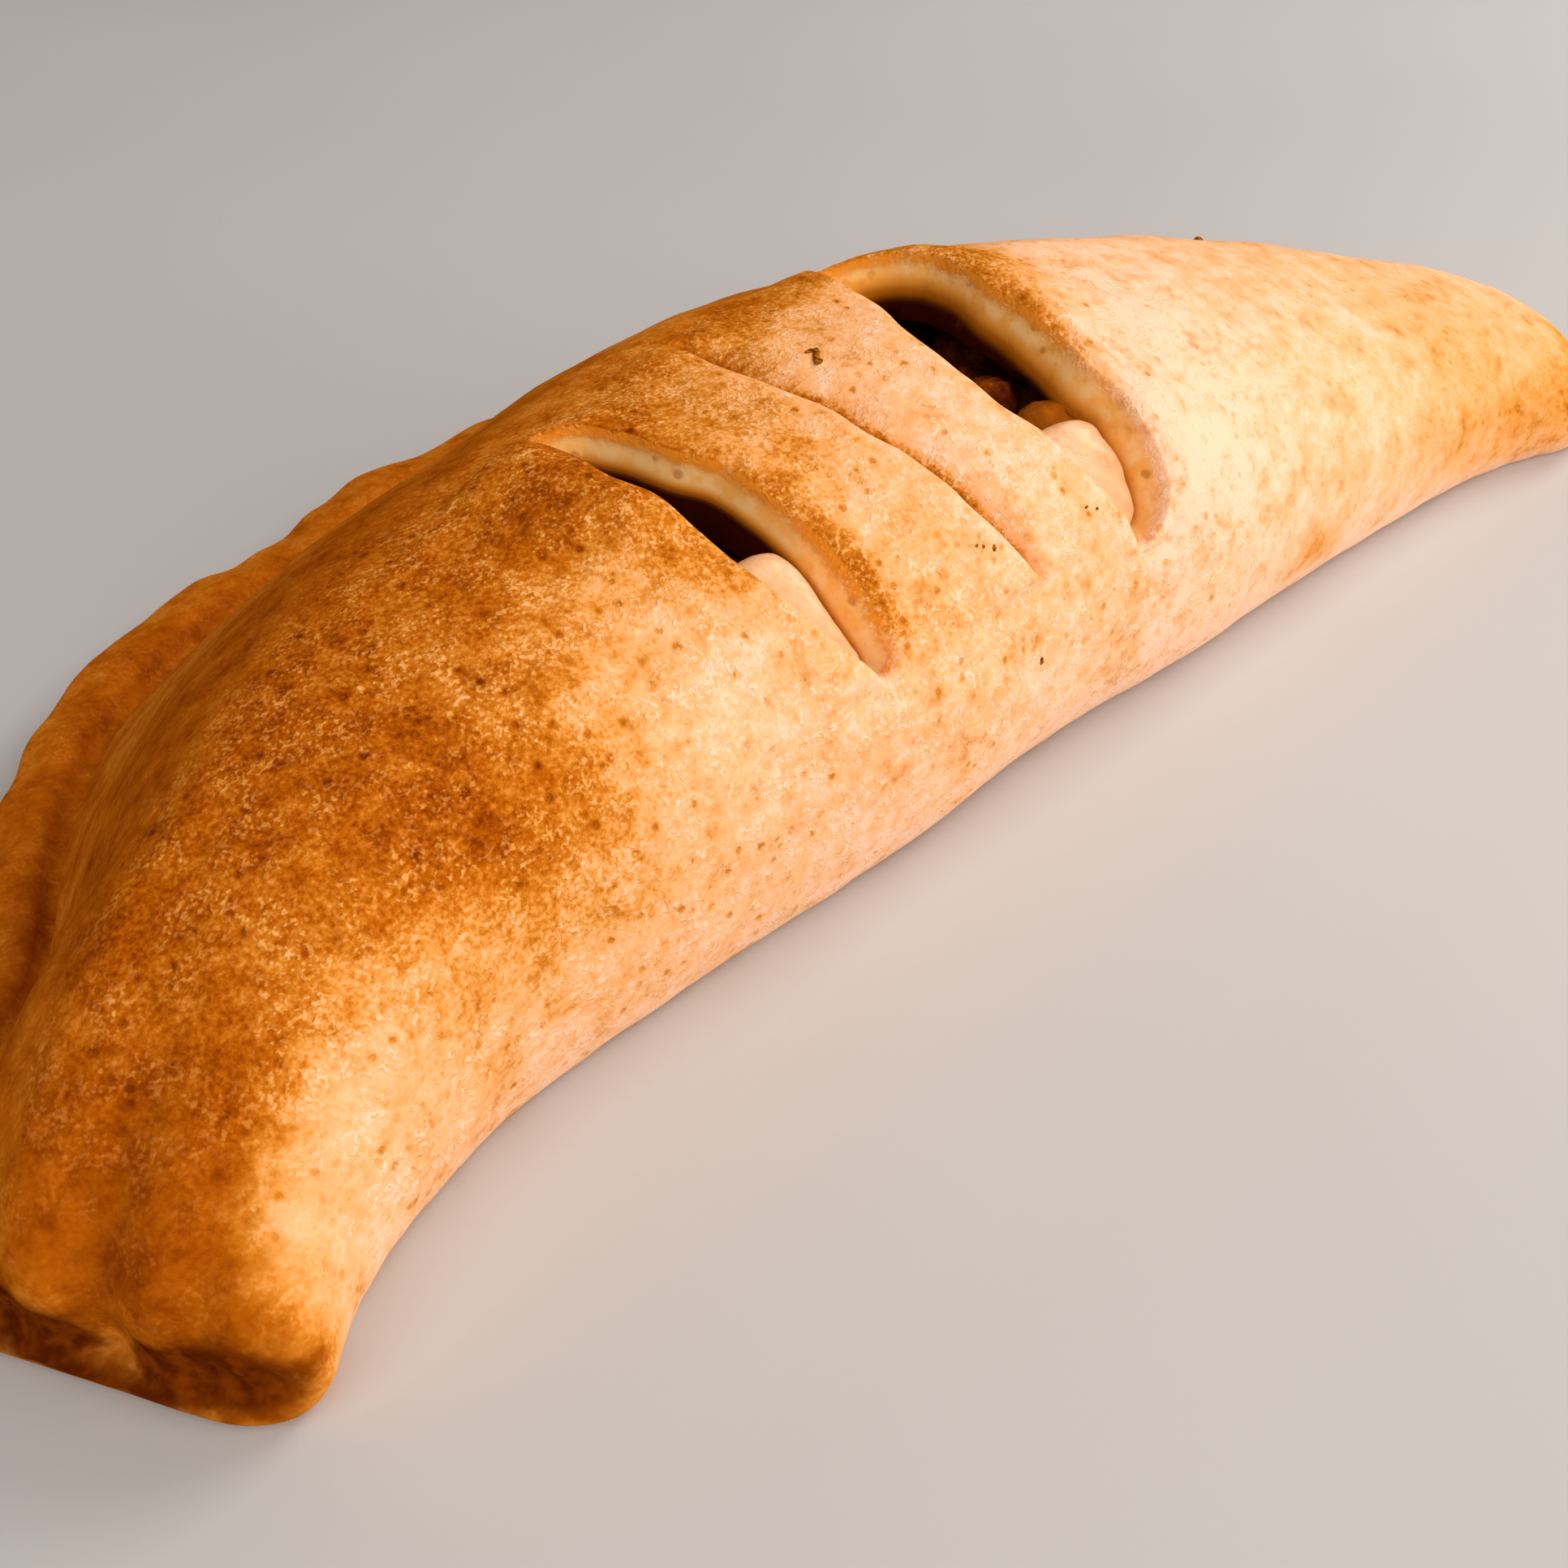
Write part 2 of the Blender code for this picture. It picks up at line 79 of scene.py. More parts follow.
lens = bpy.data.cameras.new("photo_camera")
lens.sensor_width = SENSOR
lens.lens = FOCAL_PIXELS / PICTURE_SIDE * SENSOR
lens.clip_start = NEAREST
bpy.context.scene.camera = add_item(
    "photo_camera", lens, CAMERA_PLACE, (math.pi / 2 - CAMERA_PITCH, 0, CAMERA_YAW - math.pi / 2))
print("lens:", round(lens.lens, 2), "mm")

# %% [markdown]
# ## The loaf as a function of two numbers
#
# `along` runs from 0 at the blunt left end to 1 at the right tip, `around` from 0 where the fold
# meets the floor, over the top, to 1 at the foot of the seam. A smooth curve through a few ribs
# gives reach and height, and the whole is bent round a circle in plan. The plain solids have the
# same formulas, so this skin lies where they lie.

# %% Driving sizes of the form
BEND_RADIUS = 0.3
BEND_HALF_ANGLE = 0.522
LENGTH = 2 * BEND_HALF_ANGLE * BEND_RADIUS
SEAM_WIDTH, SEAM_HEIGHT = 0.014, 0.009
SEAM_FLAT, SEAM_SWELL = 0.7, 0.12
CRUST, CRUST_FLOOR = 0.007, 0.005

# along, reach to the fold, reach to the seam, height of the ridge
RIBS = np.array((
    (0.0, 0.03, 0.014, 0.016),
    (0.05, 0.0275, 0.0298, 0.028),
    (0.12, 0.029, 0.0438, 0.0385),
    (0.24, 0.0395, 0.0685, 0.0465),
    (0.4, 0.0495, 0.0775, 0.0495),
    (0.56, 0.05, 0.073, 0.049),
    (0.7, 0.0445, 0.0635, 0.042),
    (0.82, 0.036, 0.052, 0.0325),
    (0.92, 0.028, 0.037, 0.024),
    (1.0, 0.025, 0.02, 0.013),
))
SEAM_SHARE, SEAM_SQUAT = 0.35, 0.5
LEFT_NOSE, RIGHT_NOSE = 0.022, 0.05
LEFT_BLUNT, RIGHT_BLUNT = 2.8, 2.2
NOSE_LOW, NOSE_SQUAT = 0.3, 0.7
WAIST, BULGE, TUCK = 0.28, 2.35, 0.1
SLOPE_REACH, SLOPE_FLARE = 1.8, 1.3
SIDE_END, RIDGE, VALLEY = 0.1, 0.46, 0.88

# along, how far the seam's edge draws in, length of the pinch
PINCHES = ((0.11, 0.0018, 0.01), (0.34, 0.0024, 0.01), (0.43, 0.0006, 0.008),
           (0.53, 0.0034, 0.009), (0.64, 0.0024, 0.008), (0.75, 0.0034, 0.009),
           (0.85, 0.002, 0.008))
PINCH_SINK = 0.6
print("length along the bend:", round(LENGTH * 1000), "mm")


# %% Curve through the ribs
def smooth_between(x, knots, values):
    """Monotone cubic through knots, with harmonic means of the slopes as its tangents."""
    gap = np.diff(knots)
    slope = np.diff(values) / gap
    tangent = np.zeros_like(values)
    tangent[0], tangent[-1] = slope[0], slope[-1]
    left, right = 2 * gap[1:] + gap[:-1], gap[1:] + 2 * gap[:-1]
    same_way = slope[:-1] * slope[1:] > 0
    safe = np.where(same_way, slope[:-1], 1.0), np.where(same_way, slope[1:], 1.0)
    tangent[1:-1] = np.where(same_way, (left + right) / (left / safe[0] + right / safe[1]), 0.0)
    x = np.clip(x, knots[0], knots[-1])
    row = np.clip(np.searchsorted(knots, x, side="right") - 1, 0, len(gap) - 1)
    u = (x - knots[row]) / gap[row]
    start = (1 + 2 * u) * (1 - u) ** 2 * values[row] + u * (1 - u) ** 2 * gap[row] * tangent[row]
    end = u ** 2 * (3 - 2 * u) * values[row + 1] + u ** 2 * (u - 1) * gap[row] * tangent[row + 1]
    return start + end


def rib_sizes(along):
    """Reach to the fold, reach to the seam and height of the ridge."""
    return tuple(smooth_between(along, RIBS[:, 0], RIBS[:, k]) for k in (1, 2, 3))


def smooth_step(x):
    """0 below 0, 1 above 1, 3x^2 - 2x^3 between."""
    x = np.clip(x, 0, 1)
    return x * x * (3 - 2 * x)


def rise(value, start, run):
    """Smooth step from 0 at `start` to 1 after `run`."""
    return smooth_step((value - start) / run)


def bump(distance, width):
    """Bell curve: exp(-(distance / width)^2)."""
    return np.exp(-(distance / width) ** 2)


print("ribs:", len(RIBS))


# %% Section of the loaf
def nose(along):
    """1 along the body, and at each end a superellipse's side that falls to 0."""
    left = np.clip(along / LEFT_NOSE, 0, 1)
    right = np.clip((1 - along) / RIGHT_NOSE, 0, 1)
    left_side = (1 - (1 - left) ** LEFT_BLUNT) ** (1 / LEFT_BLUNT)
    return left_side * (1 - (1 - right) ** RIGHT_BLUNT) ** (1 / RIGHT_BLUNT)


def profile(around, fold, seam, high, band, band_top):
    """Half-moon section: a tucked side, a superellipse bulge up to the ridge, a flared slope
    down to the band, and the band with its quarter-round edge."""
    waist = WAIST * high
    u = np.clip(around / SIDE_END, 0, 1)
    side = (-fold + TUCK * fold * (1 - u) ** 2, waist * u)
    angle = np.clip((around - SIDE_END) / (RIDGE - SIDE_END), 0, 1) * math.pi / 2
    front = (-fold * np.cos(angle).clip(0) ** (2 / BULGE),
             waist + (high - waist) * np.sin(angle).clip(0) ** (2 / BULGE))
    u = np.clip((around - RIDGE) / (VALLEY - RIDGE), 0, 1)
    fall = (1 - u ** SLOPE_REACH) ** SLOPE_FLARE
    slope = (u * (seam - band), band_top + (high - band_top) * fall)
    u = (around - VALLEY) / (1 - VALLEY)
    flat = np.clip(2 * u, 0, 1)
    edge = np.clip(2 * u - 1, 0, 1) * math.pi / 2
    lip = (seam - band + SEAM_FLAT * band * flat + (1 - SEAM_FLAT) * band * np.sin(edge),
           band_top * (1 + SEAM_SWELL * np.sin(flat * math.pi)) * np.cos(edge))
    where = [around < SIDE_END, around < RIDGE, around < VALLEY]
    return (np.select(where, [side[0], front[0], slope[0]], lip[0]),
            np.select(where, [side[1], front[1], slope[1]], lip[1]))


def section(along, around):
    """Across and height: the profile, pinched at the seam, shrunk to a low point at both ends."""
    fold, seam, high = rib_sizes(along)
    band_top = np.minimum(SEAM_HEIGHT, SEAM_SQUAT * high)
    for place, depth, length in PINCHES:
        pinch = depth * bump((along - place) * LENGTH, length)
        seam, band_top = seam - pinch, band_top - PINCH_SINK * pinch
    band = np.minimum(SEAM_WIDTH, SEAM_SHARE * seam)
    across, height = profile(around, fold, seam, high, band, band_top)
    close = nose(along)
    middle, low = (seam - fold) / 2, NOSE_LOW * high
    return middle + (across - middle) * close, low + (height - low) * close ** NOSE_SQUAT


def bend(along, across, height):
    """Wrap the straight section round the bend: across is added to the radius."""
    angle = (2 * along - 1) * BEND_HALF_ANGLE
    x = (BEND_RADIUS + across) * np.sin(angle)
    y = (BEND_RADIUS + across) * np.cos(angle) - BEND_RADIUS * math.cos(BEND_HALF_ANGLE)
    return np.stack(np.broadcast_arrays(x, y, height), axis=-1)


def plain_skin(along, around):
    """The smooth outer form, before slits and relief, in the bend's own frame."""
    along, around = np.broadcast_arrays(along, around)
    return bend(along, *section(along, around))


def plan_shift():
    """What moves the form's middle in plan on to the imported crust's middle."""
    low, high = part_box("dough")
    outline = plain_skin(np.linspace(0, 1, 400)[:, None], np.linspace(0, 1, 200))
    form_low, form_high = outline.min(axis=(0, 1)), outline.max(axis=(0, 1))
    return (np.array(low) + np.array(high) - form_low - form_high) / 2 * (1, 1, 0)


SHIFT = plan_shift()
print("shift in plan:", np.round(SHIFT * 1000, 2), "mm")


# %% Directions on the skin
def outward(along, around, step=0.002):
    """Unit normal of the smooth form: cross product of two small differences."""
    run = plain_skin(along + step, around) - plain_skin(along - step, around)
    before, after = np.clip(around - step, 0, 1), np.clip(around + step, 0, 1)
    normal = np.cross(run, plain_skin(along, after) - plain_skin(along, before))
    return normal / np.maximum(np.linalg.norm(normal, axis=-1, keepdims=True), 1e-12)


def towards_tip(along):
    """Level unit vector along the bend, towards the right tip."""
    angle = (2 * along - 1) * BEND_HALF_ANGLE
    return np.stack([np.cos(angle), -np.sin(angle), 0 * angle], axis=-1)


print("normal at the top:", np.round(outward(0.5, RIDGE), 2))

# %% [markdown]
# ## Randomness that repeats
#
# Dough is uneven, but each run has to give the same loaf. So random values from a fixed seed sit
# on a cubic grid as wide as the lumps are, and between its points a smooth weight blends them.

# %% Lattice noise
LATTICE, LATTICE_START = 32, 1000.0


def lattice_noise(points, size, seed):
    """Random field from -1 to 1: a cell's eight corners, weighted by three smooth steps."""
    table = np.random.default_rng(seed).uniform(-1, 1, (LATTICE,) * 3)
    scaled = points / size + LATTICE_START
    cell = np.floor(scaled).astype(int)
    part = smooth_step(scaled - cell)
    total = 0.0
    for corner in np.ndindex(2, 2, 2):
        x, y, z = np.moveaxis((cell + corner) % LATTICE, -1, 0)
        total = total + table[x, y, z] * np.abs(1 - np.array(corner) - part).prod(axis=-1)
    return total


def crumbly_noise(points, size, seed):
    """Two lattice noises, the second of half the size and half the strength."""
    return lattice_noise(points, size, seed) + 0.5 * lattice_noise(points, size / 2.1, seed + 1)


def layered_noise(points, layers):
    """Sum of lattice noises, each a size, a height and a seed."""
    return sum(height * lattice_noise(points, size, seed) for size, height, seed in layers)


print("noise:", np.round(lattice_noise(np.zeros(3), 0.01, 1), 3))

# %% [markdown]
# ## The three slits
#
# Each slit is a step in the crust. The left strip ends in a thin lip that hides what lies behind
# it, and the right side is a cut face of pale crumb down to a toasted inner rim, darkened further
# towards the hole with painted shade. Some columns of the grid belong to each slit: they run down
# the near wall, across the hole and up the cut face.
# Beyond the slit's ends they lie in the skin, a fraction of a millimetre apart.

# %% Sizes of the slits
SLITS = {
    "left": Slit(
        along=0.3165, swing=0.026, hold=1.0, power=3.2, kick=0.0, front=0.2, back=0.492,
        hole=0.0104, wall=0.0026, depth=0.006, near_rise=0.0034, far_rise=0.0012,
        front_rise=0.25, narrow=0.42, rim=(0.64, 0.6, 0.46), tan_from=-0.3, hollow=True),
    "middle": Slit(
        along=0.418, swing=0.034, hold=1.0, power=2.6, kick=-0.008, front=0.2, back=0.51,
        hole=0.0006, wall=0.011, depth=0.0036, near_rise=0.0014, far_rise=0.0004,
        front_rise=1.0, narrow=0.0, hollow=False),
    "right": Slit(
        along=0.4866, swing=0.038, hold=1.6, power=5.0, kick=0.02, front=0.178, back=0.535,
        hole=0.0172, wall=0.0026, depth=0.006, near_rise=0.0014, far_rise=0.0032,
        front_rise=0.35, narrow=0.16, rim=(0.52, 0.32, 0.95), tan_from=0.3, hollow=True),
}
KICK, RISE = (0.45, 0.5), (0.42, 0.3)  # where along a slit they start, and over how much
SLIT_FULL, DEPTH_FULL = 0.6, 0.6
NEAR_LIP, FAR_LIP = (-0.003, 0.009), (0.002, 0.0085)
FLAT_WIDTH = 0.0016  # width that a slit's columns share beyond its ends
NARROW_SHARE = 0.55  # an open slit's hole is narrowed over this share of its length
OPEN_LENS = 0.5  # the hole is open where the slit is at least this full
UNDERCUT = 0.0024  # how far the near wall draws back under its lip
LIP_WOBBLE, LIP_WOBBLE_SIZE = 0.0007, 0.006

# share of the undercut and share of the depth, down the near wall
NEAR_WALL = np.array(((0.0, 0.0), (0.0, 0.07), (0.04, 0.18), (0.16, 0.34), (0.38, 0.56),
                      (0.7, 0.8), (1.0, 1.0)))
# share of the cut face's width and share of the depth, up the far side of an open slit
FAR_WALL = np.array(((-0.22, 1.16), (-0.1, 1.09), (0.0, 1.0), (0.03, 0.89), (0.08, 0.78),
                     (0.15, 0.67), (0.23, 0.56), (0.32, 0.45), (0.43, 0.34), (0.55, 0.23),
                     (0.68, 0.14), (0.81, 0.07), (0.92, 0.02)))
CLOSED_FLARE = 2.2  # the closed slit's far side flares out by this power
NEAR_ROUND, FAR_ROUND = (0.0004, 0.0008), (0.0006, 0.0014)  # drop and width of a lip's edge


def slit_share(slit, around):
    """0 at the front end of a slit, 1 at its back end."""
    return np.clip((around - slit.front) / (slit.back - slit.front), 0, 1)


def slit_lens(slit, around):
    """Opening of a slit: (4s(1-s)) to a power under 1, so that its ends are full."""
    share = slit_share(slit, around)
    return (4 * share * (1 - share)).clip(0) ** SLIT_FULL


def near_lip(slit, around):
    """The near lip: straight, with a front end that swings as (1 - share^hold)^power and a
    back end kicked over by a smooth step."""
    share = slit_share(slit, around)
    straight = slit.along + slit.swing * (1 - share ** slit.hold) ** slit.power
    straight = straight + slit.kick * rise(share, *KICK)
    place = np.stack(np.broadcast_arrays(around * 0.2, slit.along, 0.0), axis=-1)
    wobble = lattice_noise(place, LIP_WOBBLE_SIZE, 5) * slit_lens(slit, around)
    return straight + LIP_WOBBLE * wobble / LENGTH


def slit_widths(slit, around):
    """Widths of the hole, narrower in front, and of the cut face that takes what is left."""
    lens = slit_lens(slit, around)
    front = 1 - smooth_step(slit_share(slit, around) / NARROW_SHARE)
    hole = slit.hole * (1 - slit.narrow * front) * lens
    return hole, (slit.hole + slit.wall - FLAT_WIDTH) * lens - hole


def far_lip(slit, around):
    """The near lip plus the hole and the cut face."""
    width = FLAT_WIDTH + (slit.hole + slit.wall - FLAT_WIDTH) * slit_lens(slit, around)
    return near_lip(slit, around) + width / LENGTH


for name, slit in SLITS.items():
    print(name, "slit is open", round((slit.hole + slit.wall) * 1000, 1), "mm")

# %% [markdown]
# ## Rows and columns of the crust
#
# Rows are values of `around`, columns values of `along`, closer together where the form turns
# sharply. A column between two slits is placed by a share between the lips beside it, so that it
# never crosses a slit.


# %% Rows and the shares of the columns
def stretch(start, end, count):
    """Even values from start up to, but without, the end."""
    return np.linspace(start, end, count + 1)[:-1]


def crowded(count, first, last):
    """Shares from 0 up to, but without, 1, crowded at the ends by `first` and `last`."""
    u = np.linspace(0, 1, count + 1)
    rate = 1 / (1 + first * bump(u, 0.12) + last * bump(1 - u, 0.12))
    total = np.concatenate([[0], np.cumsum((rate[1:] + rate[:-1]) / 2)])
    return (total / total[-1])[:-1]


ROWS = np.concatenate([stretch(0, SIDE_END, 9), stretch(SIDE_END, 0.165, 14),
                       stretch(0.165, 0.56, 108), stretch(0.56, VALLEY, 48),
                       stretch(VALLEY, 0.94, 10), np.linspace(0.94, 1, 13)])
UNDER_ROWS = 11
LEFT_KNOT, RIGHT_KNOT = 0.15, 0.72
# for each stretch of skin: the two knots it lies between, columns, crowding at its two ends
BODY_COLUMNS = ((0, 1, 66, 9, 0), (1, 2, 60, 0, 3), (3, 4, 24, 2, 3), (5, 6, 26, 2, 3),
                (7, 8, 50, 3, 0), (8, 9, 86, 0, 7))
print("rows:", len(ROWS) + UNDER_ROWS)


def grid_columns(around):
    """`along` and sunk depth of every column at each row, its kind (-1 for skin, else the
    slit's number) and its share of the way up a cut face (-1 off it)."""
    row = around[:, None]
    slits = list(SLITS.values())
    knots = [0 * row, LEFT_KNOT + 0 * row]
    for slit in slits:
        knots += [near_lip(slit, row), far_lip(slit, row)]
    knots += [RIGHT_KNOT + 0 * row, 1 + 0 * row]
    along, depth, kinds, shares = [], [], [], []
    for number, (a, b, count, first, last) in enumerate(BODY_COLUMNS):
        share = crowded(count, first, last)
        if b == len(knots) - 1:
            share = np.append(share, 1.0)
        along.append(knots[a] + share * (knots[b] - knots[a]))
        depth.append(0 * along[-1])
        kinds += [-1] * len(share)
        shares += [-1.0] * len(share)
        if 1 <= number <= len(slits):
            shift, sunk = slit_columns(slits[number - 1], row)
            along.append(knots[b] + shift / LENGTH)
            depth.append(sunk)
            kinds += [number - 1] * shift.shape[1]
            shares += [-1.0] * len(NEAR_WALL) + list(FAR_WALL[:, 0])
    return np.hstack(along), np.hstack(depth), np.array(kinds), np.array(shares)


def slit_columns(slit, row):
    """How far a slit's columns lie from its near lip, and how deep under the skin."""
    lens = slit_lens(slit, row)
    hole, wall = slit_widths(slit, row)
    depth = slit.depth * smooth_step(lens / DEPTH_FULL)
    flat = FLAT_WIDTH * stretch(0, 1, len(NEAR_WALL) + len(FAR_WALL))
    near = -UNDERCUT * smooth_step(lens) * NEAR_WALL[:, 0]
    share, climb, shoulder = FAR_WALL[:, 0], FAR_WALL[:, 1], FAR_ROUND[0] * lens
    if not slit.hollow:
        share = share.clip(0)
        climb, shoulder = (1 - share) ** CLOSED_FLARE, 0.0
    sunk = [NEAR_ROUND[0] * lens + depth * NEAR_WALL[:, 1], shoulder + depth * climb]
    return flat + np.hstack([near, hole + wall * share]), np.hstack(sunk)


ALONG, SUNK, KINDS, CUT_SHARE = grid_columns(ROWS)
AROUND = np.broadcast_to(ROWS[:, None], ALONG.shape)
print("grid of the skin:", ALONG.shape)


# %% [markdown]
# ## Relief of the crust
#
# Relief makes it dough and not plastic: lips that steam pushed up, a swelling behind the slits,
# soft pleats that close the blunt end over a thin bottom lip, and over all of it swells of a few
# centimetres down to blisters of a few millimetres, each weaker than the last.

# %% Sizes of the relief
SWELLS = ((0.034, 0.0006, 11), (0.013, 0.0003, 12), (0.0055, 0.00016, 13), (0.0026, 0.00009, 14))
SEAM_CREASE = (0.883, 0.0018, 0.011)  # around, depth and width of the pressed-in valley
SEAM_WAVER, SEAM_FADE = (0.35, 0.02), (0.06, 0.08)
CRIMP_LENGTH, CRIMP_RISE = 0.0125, 0.0003  # the crimps along the band
CRIMP_BAND, CRIMP_DRIFT = (0.945, 0.03), (2.0, 0.23)
# swelling behind the slits: along, around, reach along and around, rise
BACK_SWELL = (0.45, 0.56, 0.028, 0.088, 0.0026)
# creases of the blunt end: across, depth, width, how far they run, how they drift with the run
PLEATS = ((-0.0085, 0.0024, 0.0035, 0.045, 0.0), (0.003, 0.0012, 0.0028, 0.06, 0.1),
          (-0.0185, 0.0006, 0.003, 0.05, -0.05), (0.011, 0.0008, 0.0024, 0.045, 0.16))
PLEAT_FOOT, PLEAT_LEAN = 0.004, (0.0, 0.0, -0.5)
END_DEPTH = 0.016  # share of the length that the end's own relief takes
BOTTOM_LIP = (0.0016, 0.0019, 0.0012)  # height, width and reach of the lip under the end
END_DENT = (0.0074, 0.003, -0.001)  # the same for the burnt dent above it


def lips(along, around):
    """The swelling behind the slits, and a bell curve beside each lip that rises to the back."""
    place, turn, length, width, swell = BACK_SWELL
    out = swell * bump((along - place) * LENGTH, length) * bump(around - turn, width)
    for slit in SLITS.values():
        lens = slit_lens(slit, around)
        near = (along - near_lip(slit, around)) * LENGTH
        far = near - (slit.hole + slit.wall) * lens
        back = rise(slit_share(slit, around), *RISE)
        height = (slit.front_rise + (1 - slit.front_rise) * back) * np.sqrt(lens)
        out = out + height * slit.near_rise * bump(near - NEAR_LIP[0], NEAR_LIP[1])
        out = out + height * slit.far_rise * bump(far - FAR_LIP[0], FAR_LIP[1])
    return out


def end_relief(along, around):
    """At the blunt end creases pull in and lean down, the lip pushes out, the dent pulls in."""
    across, height = section(along, around)
    run = along * LENGTH
    inwards = 0.0
    for place, depth, width, reach, drift in PLEATS:
        groove = bump(across - place - drift * run, width) * bump(along, reach)
        inwards = inwards + depth * groove * np.clip(height / PLEAT_FOOT, 0, 1)
    for place, width, reach in (BOTTOM_LIP, END_DENT):
        inwards = inwards - reach * bump(along, END_DEPTH) * bump(height - place, width)
    return inwards[..., None] * (towards_tip(along) + PLEAT_LEAN)


def seam_relief(along, around):
    """A pressed valley at the seam's foot and crimps along its band."""
    place, depth, width = SEAM_CREASE
    body = smooth_step(along / SEAM_FADE[0]) * smooth_step((1 - along) / SEAM_FADE[1])
    line = np.stack([along * LENGTH, 0 * along, 0 * along], -1)
    waver = SEAM_WAVER[0] * lattice_noise(line, SEAM_WAVER[1], 21)
    valley = bump(around - place, width) * (1 + waver)
    phase = along * LENGTH / CRIMP_LENGTH * 2 * math.pi
    crimp = np.sin(phase + CRIMP_DRIFT[0] * np.sin(phase * CRIMP_DRIFT[1]))
    crimp = crimp * bump(around - CRIMP_BAND[0], CRIMP_BAND[1])
    return body * (CRIMP_RISE * crimp - depth * valley)


def skin_point(along, around):
    """The finished skin off the slits' walls: form, lips, seam, end and swells."""
    along, around = np.broadcast_arrays(along, around)
    base = plain_skin(along, around)
    height = lips(along, around) + seam_relief(along, around)
    height = height + layered_noise(base, SWELLS)
    return base + outward(along, around) * height[..., None] + end_relief(along, around) + SHIFT


print("highest lip:", round(float(lips(ALONG, AROUND).max()) * 1000, 1), "mm")


# %% Place every vertex of the skin
def lip_rounding():
    """How far the skin drops beside each lip, so that its edge is round."""
    drop = np.zeros(ALONG.shape)
    for slit in SLITS.values():
        sides = [(near_lip(slit, AROUND) - ALONG, NEAR_ROUND)]
        if slit.hollow:
            sides.append((ALONG - far_lip(slit, AROUND), FAR_ROUND))
        for away, (depth, width) in sides:
            drop += depth * slit_lens(slit, AROUND) * bump(away * LENGTH, width) * (away >= 0)
    return drop * (KINDS < 0)


def crust_vertices():
    """The skin, sunk at the slits, then rows that run back under the loaf. The first and
    last columns shrink to a point."""
    normal = outward(ALONG, AROUND)
    over = skin_point(ALONG, AROUND) - normal * (SUNK + lip_rounding())[..., None]
    over[..., 2] = np.maximum(over[..., 2], 0.0)
    over[:, 0], over[:, -1] = over[:, 0].mean(axis=0), over[:, -1].mean(axis=0)
    share = np.linspace(0, 1, UNDER_ROWS + 2)[1:-1][:, None, None]
    under = over[-1:] * (1 - share) + over[:1] * share
    return np.concatenate([over, under], axis=0)


OUTER = crust_vertices()
print("outer skin:", OUTER.shape, "highest", round(float(OUTER[..., 2].max()) * 1000, 1), "mm")

# %% [markdown]
# ## The hollow, and the walls between inside and outside
#
# Two slits show the inside, so the crust is a real shell: a coarser skin lines the hollow, and at
# each open slit the cells of both skins are left out and the two holes' edges are joined. Next to
# a slit the lining keeps every outer row and column, so that the edges match one to one.

# %% Sizes of the hollow
HOLLOW_SPAN, HOLLOW_BLUNT, HOLLOW_END = (0.1, 0.9), 0.4, 0.82
LINING_SPAN = (0.112, 0.888)
LINING_STEP, FLOOR_ROWS = 3, 6  # elsewhere it keeps one in three; rows along the floor


def hollow_size(along, inset):
    """The hollow's fold, seam, floor and roof: the loaf's less the crust and `inset`, shrunk
    at both ends by (4p(1-p)) to a low power."""
    fold, seam, high = rib_sizes(along)
    start, end = HOLLOW_SPAN
    place = np.clip((along - start) / (end - start), 0, 1)
    close = (4 * place * (1 - place)).clip(0.0001) ** HOLLOW_BLUNT
    back = seam - np.minimum(SEAM_WIDTH, SEAM_SHARE * seam) - CRUST
    roof = CRUST_FLOOR + (high - CRUST - CRUST_FLOOR) * close
    return (fold - CRUST) * close - inset, back * close - inset, CRUST_FLOOR + inset, roof - inset


def hollow_skin(along, around, inset):
    """Across and height of the hollow's roof, by the outside's profile."""
    fold, back, floor, roof = hollow_size(along, inset)
    across, height = profile(around, fold, back, roof - floor, 0.0, 0.0)
    return across, floor + height


def close_on_floor(across, height, floor, count):
    """Drop the last row to the floor and run `count` rows back to the first."""
    share = np.linspace(0, 1, count + 2)[:-1, None]
    back = across[-1:] * (1 - share) + across[:1] * share
    return np.vstack([across, back]), np.vstack([height, np.broadcast_to(floor, back.shape)])


HOLES = []
for number, slit in enumerate(SLITS.values()):
    if slit.hollow:
        wide = np.nonzero(slit_lens(slit, ROWS) > OPEN_LENS)[0]
        near = np.nonzero(KINDS == number)[0][0] + len(NEAR_WALL) - 1
        HOLES.append((int(wide[0]), int(wide[-1]), int(near)))
print("holes (first and last row, column):", HOLES)


# %% Rows and columns of the lining
def lining_choice():
    """The outer rows and columns that the lining keeps."""
    rows = set(range(0, int(np.searchsorted(ROWS, HOLLOW_END)), LINING_STEP))
    middle = ALONG[len(ROWS) // 2]
    inside = np.nonzero((KINDS < 0) & (middle > LINING_SPAN[0]) & (middle < LINING_SPAN[1]))[0]
    columns = set(inside[::LINING_STEP].tolist())
    for first, last, near in HOLES:
        rows |= set(range(first, last + 1))
        columns |= {near, near + 1}
    return np.array(sorted(rows)), np.array(sorted(columns))


LINING_ROWS, LINING_COLUMNS = lining_choice()
lining_along = ALONG[np.ix_(LINING_ROWS, LINING_COLUMNS)]
lining_around = ROWS[LINING_ROWS][:, None]
across, height = hollow_skin(lining_along, lining_around, 0.0)
across, height = close_on_floor(across, height, CRUST_FLOOR, FLOOR_ROWS)
lining_along = np.vstack([lining_along, np.repeat(lining_along[-1:], FLOOR_ROWS + 1, axis=0)])
LINING = bend(lining_along, across, height) + SHIFT
print("lining:", LINING.shape)


# %% Faces by index
MERGE = 1e-6


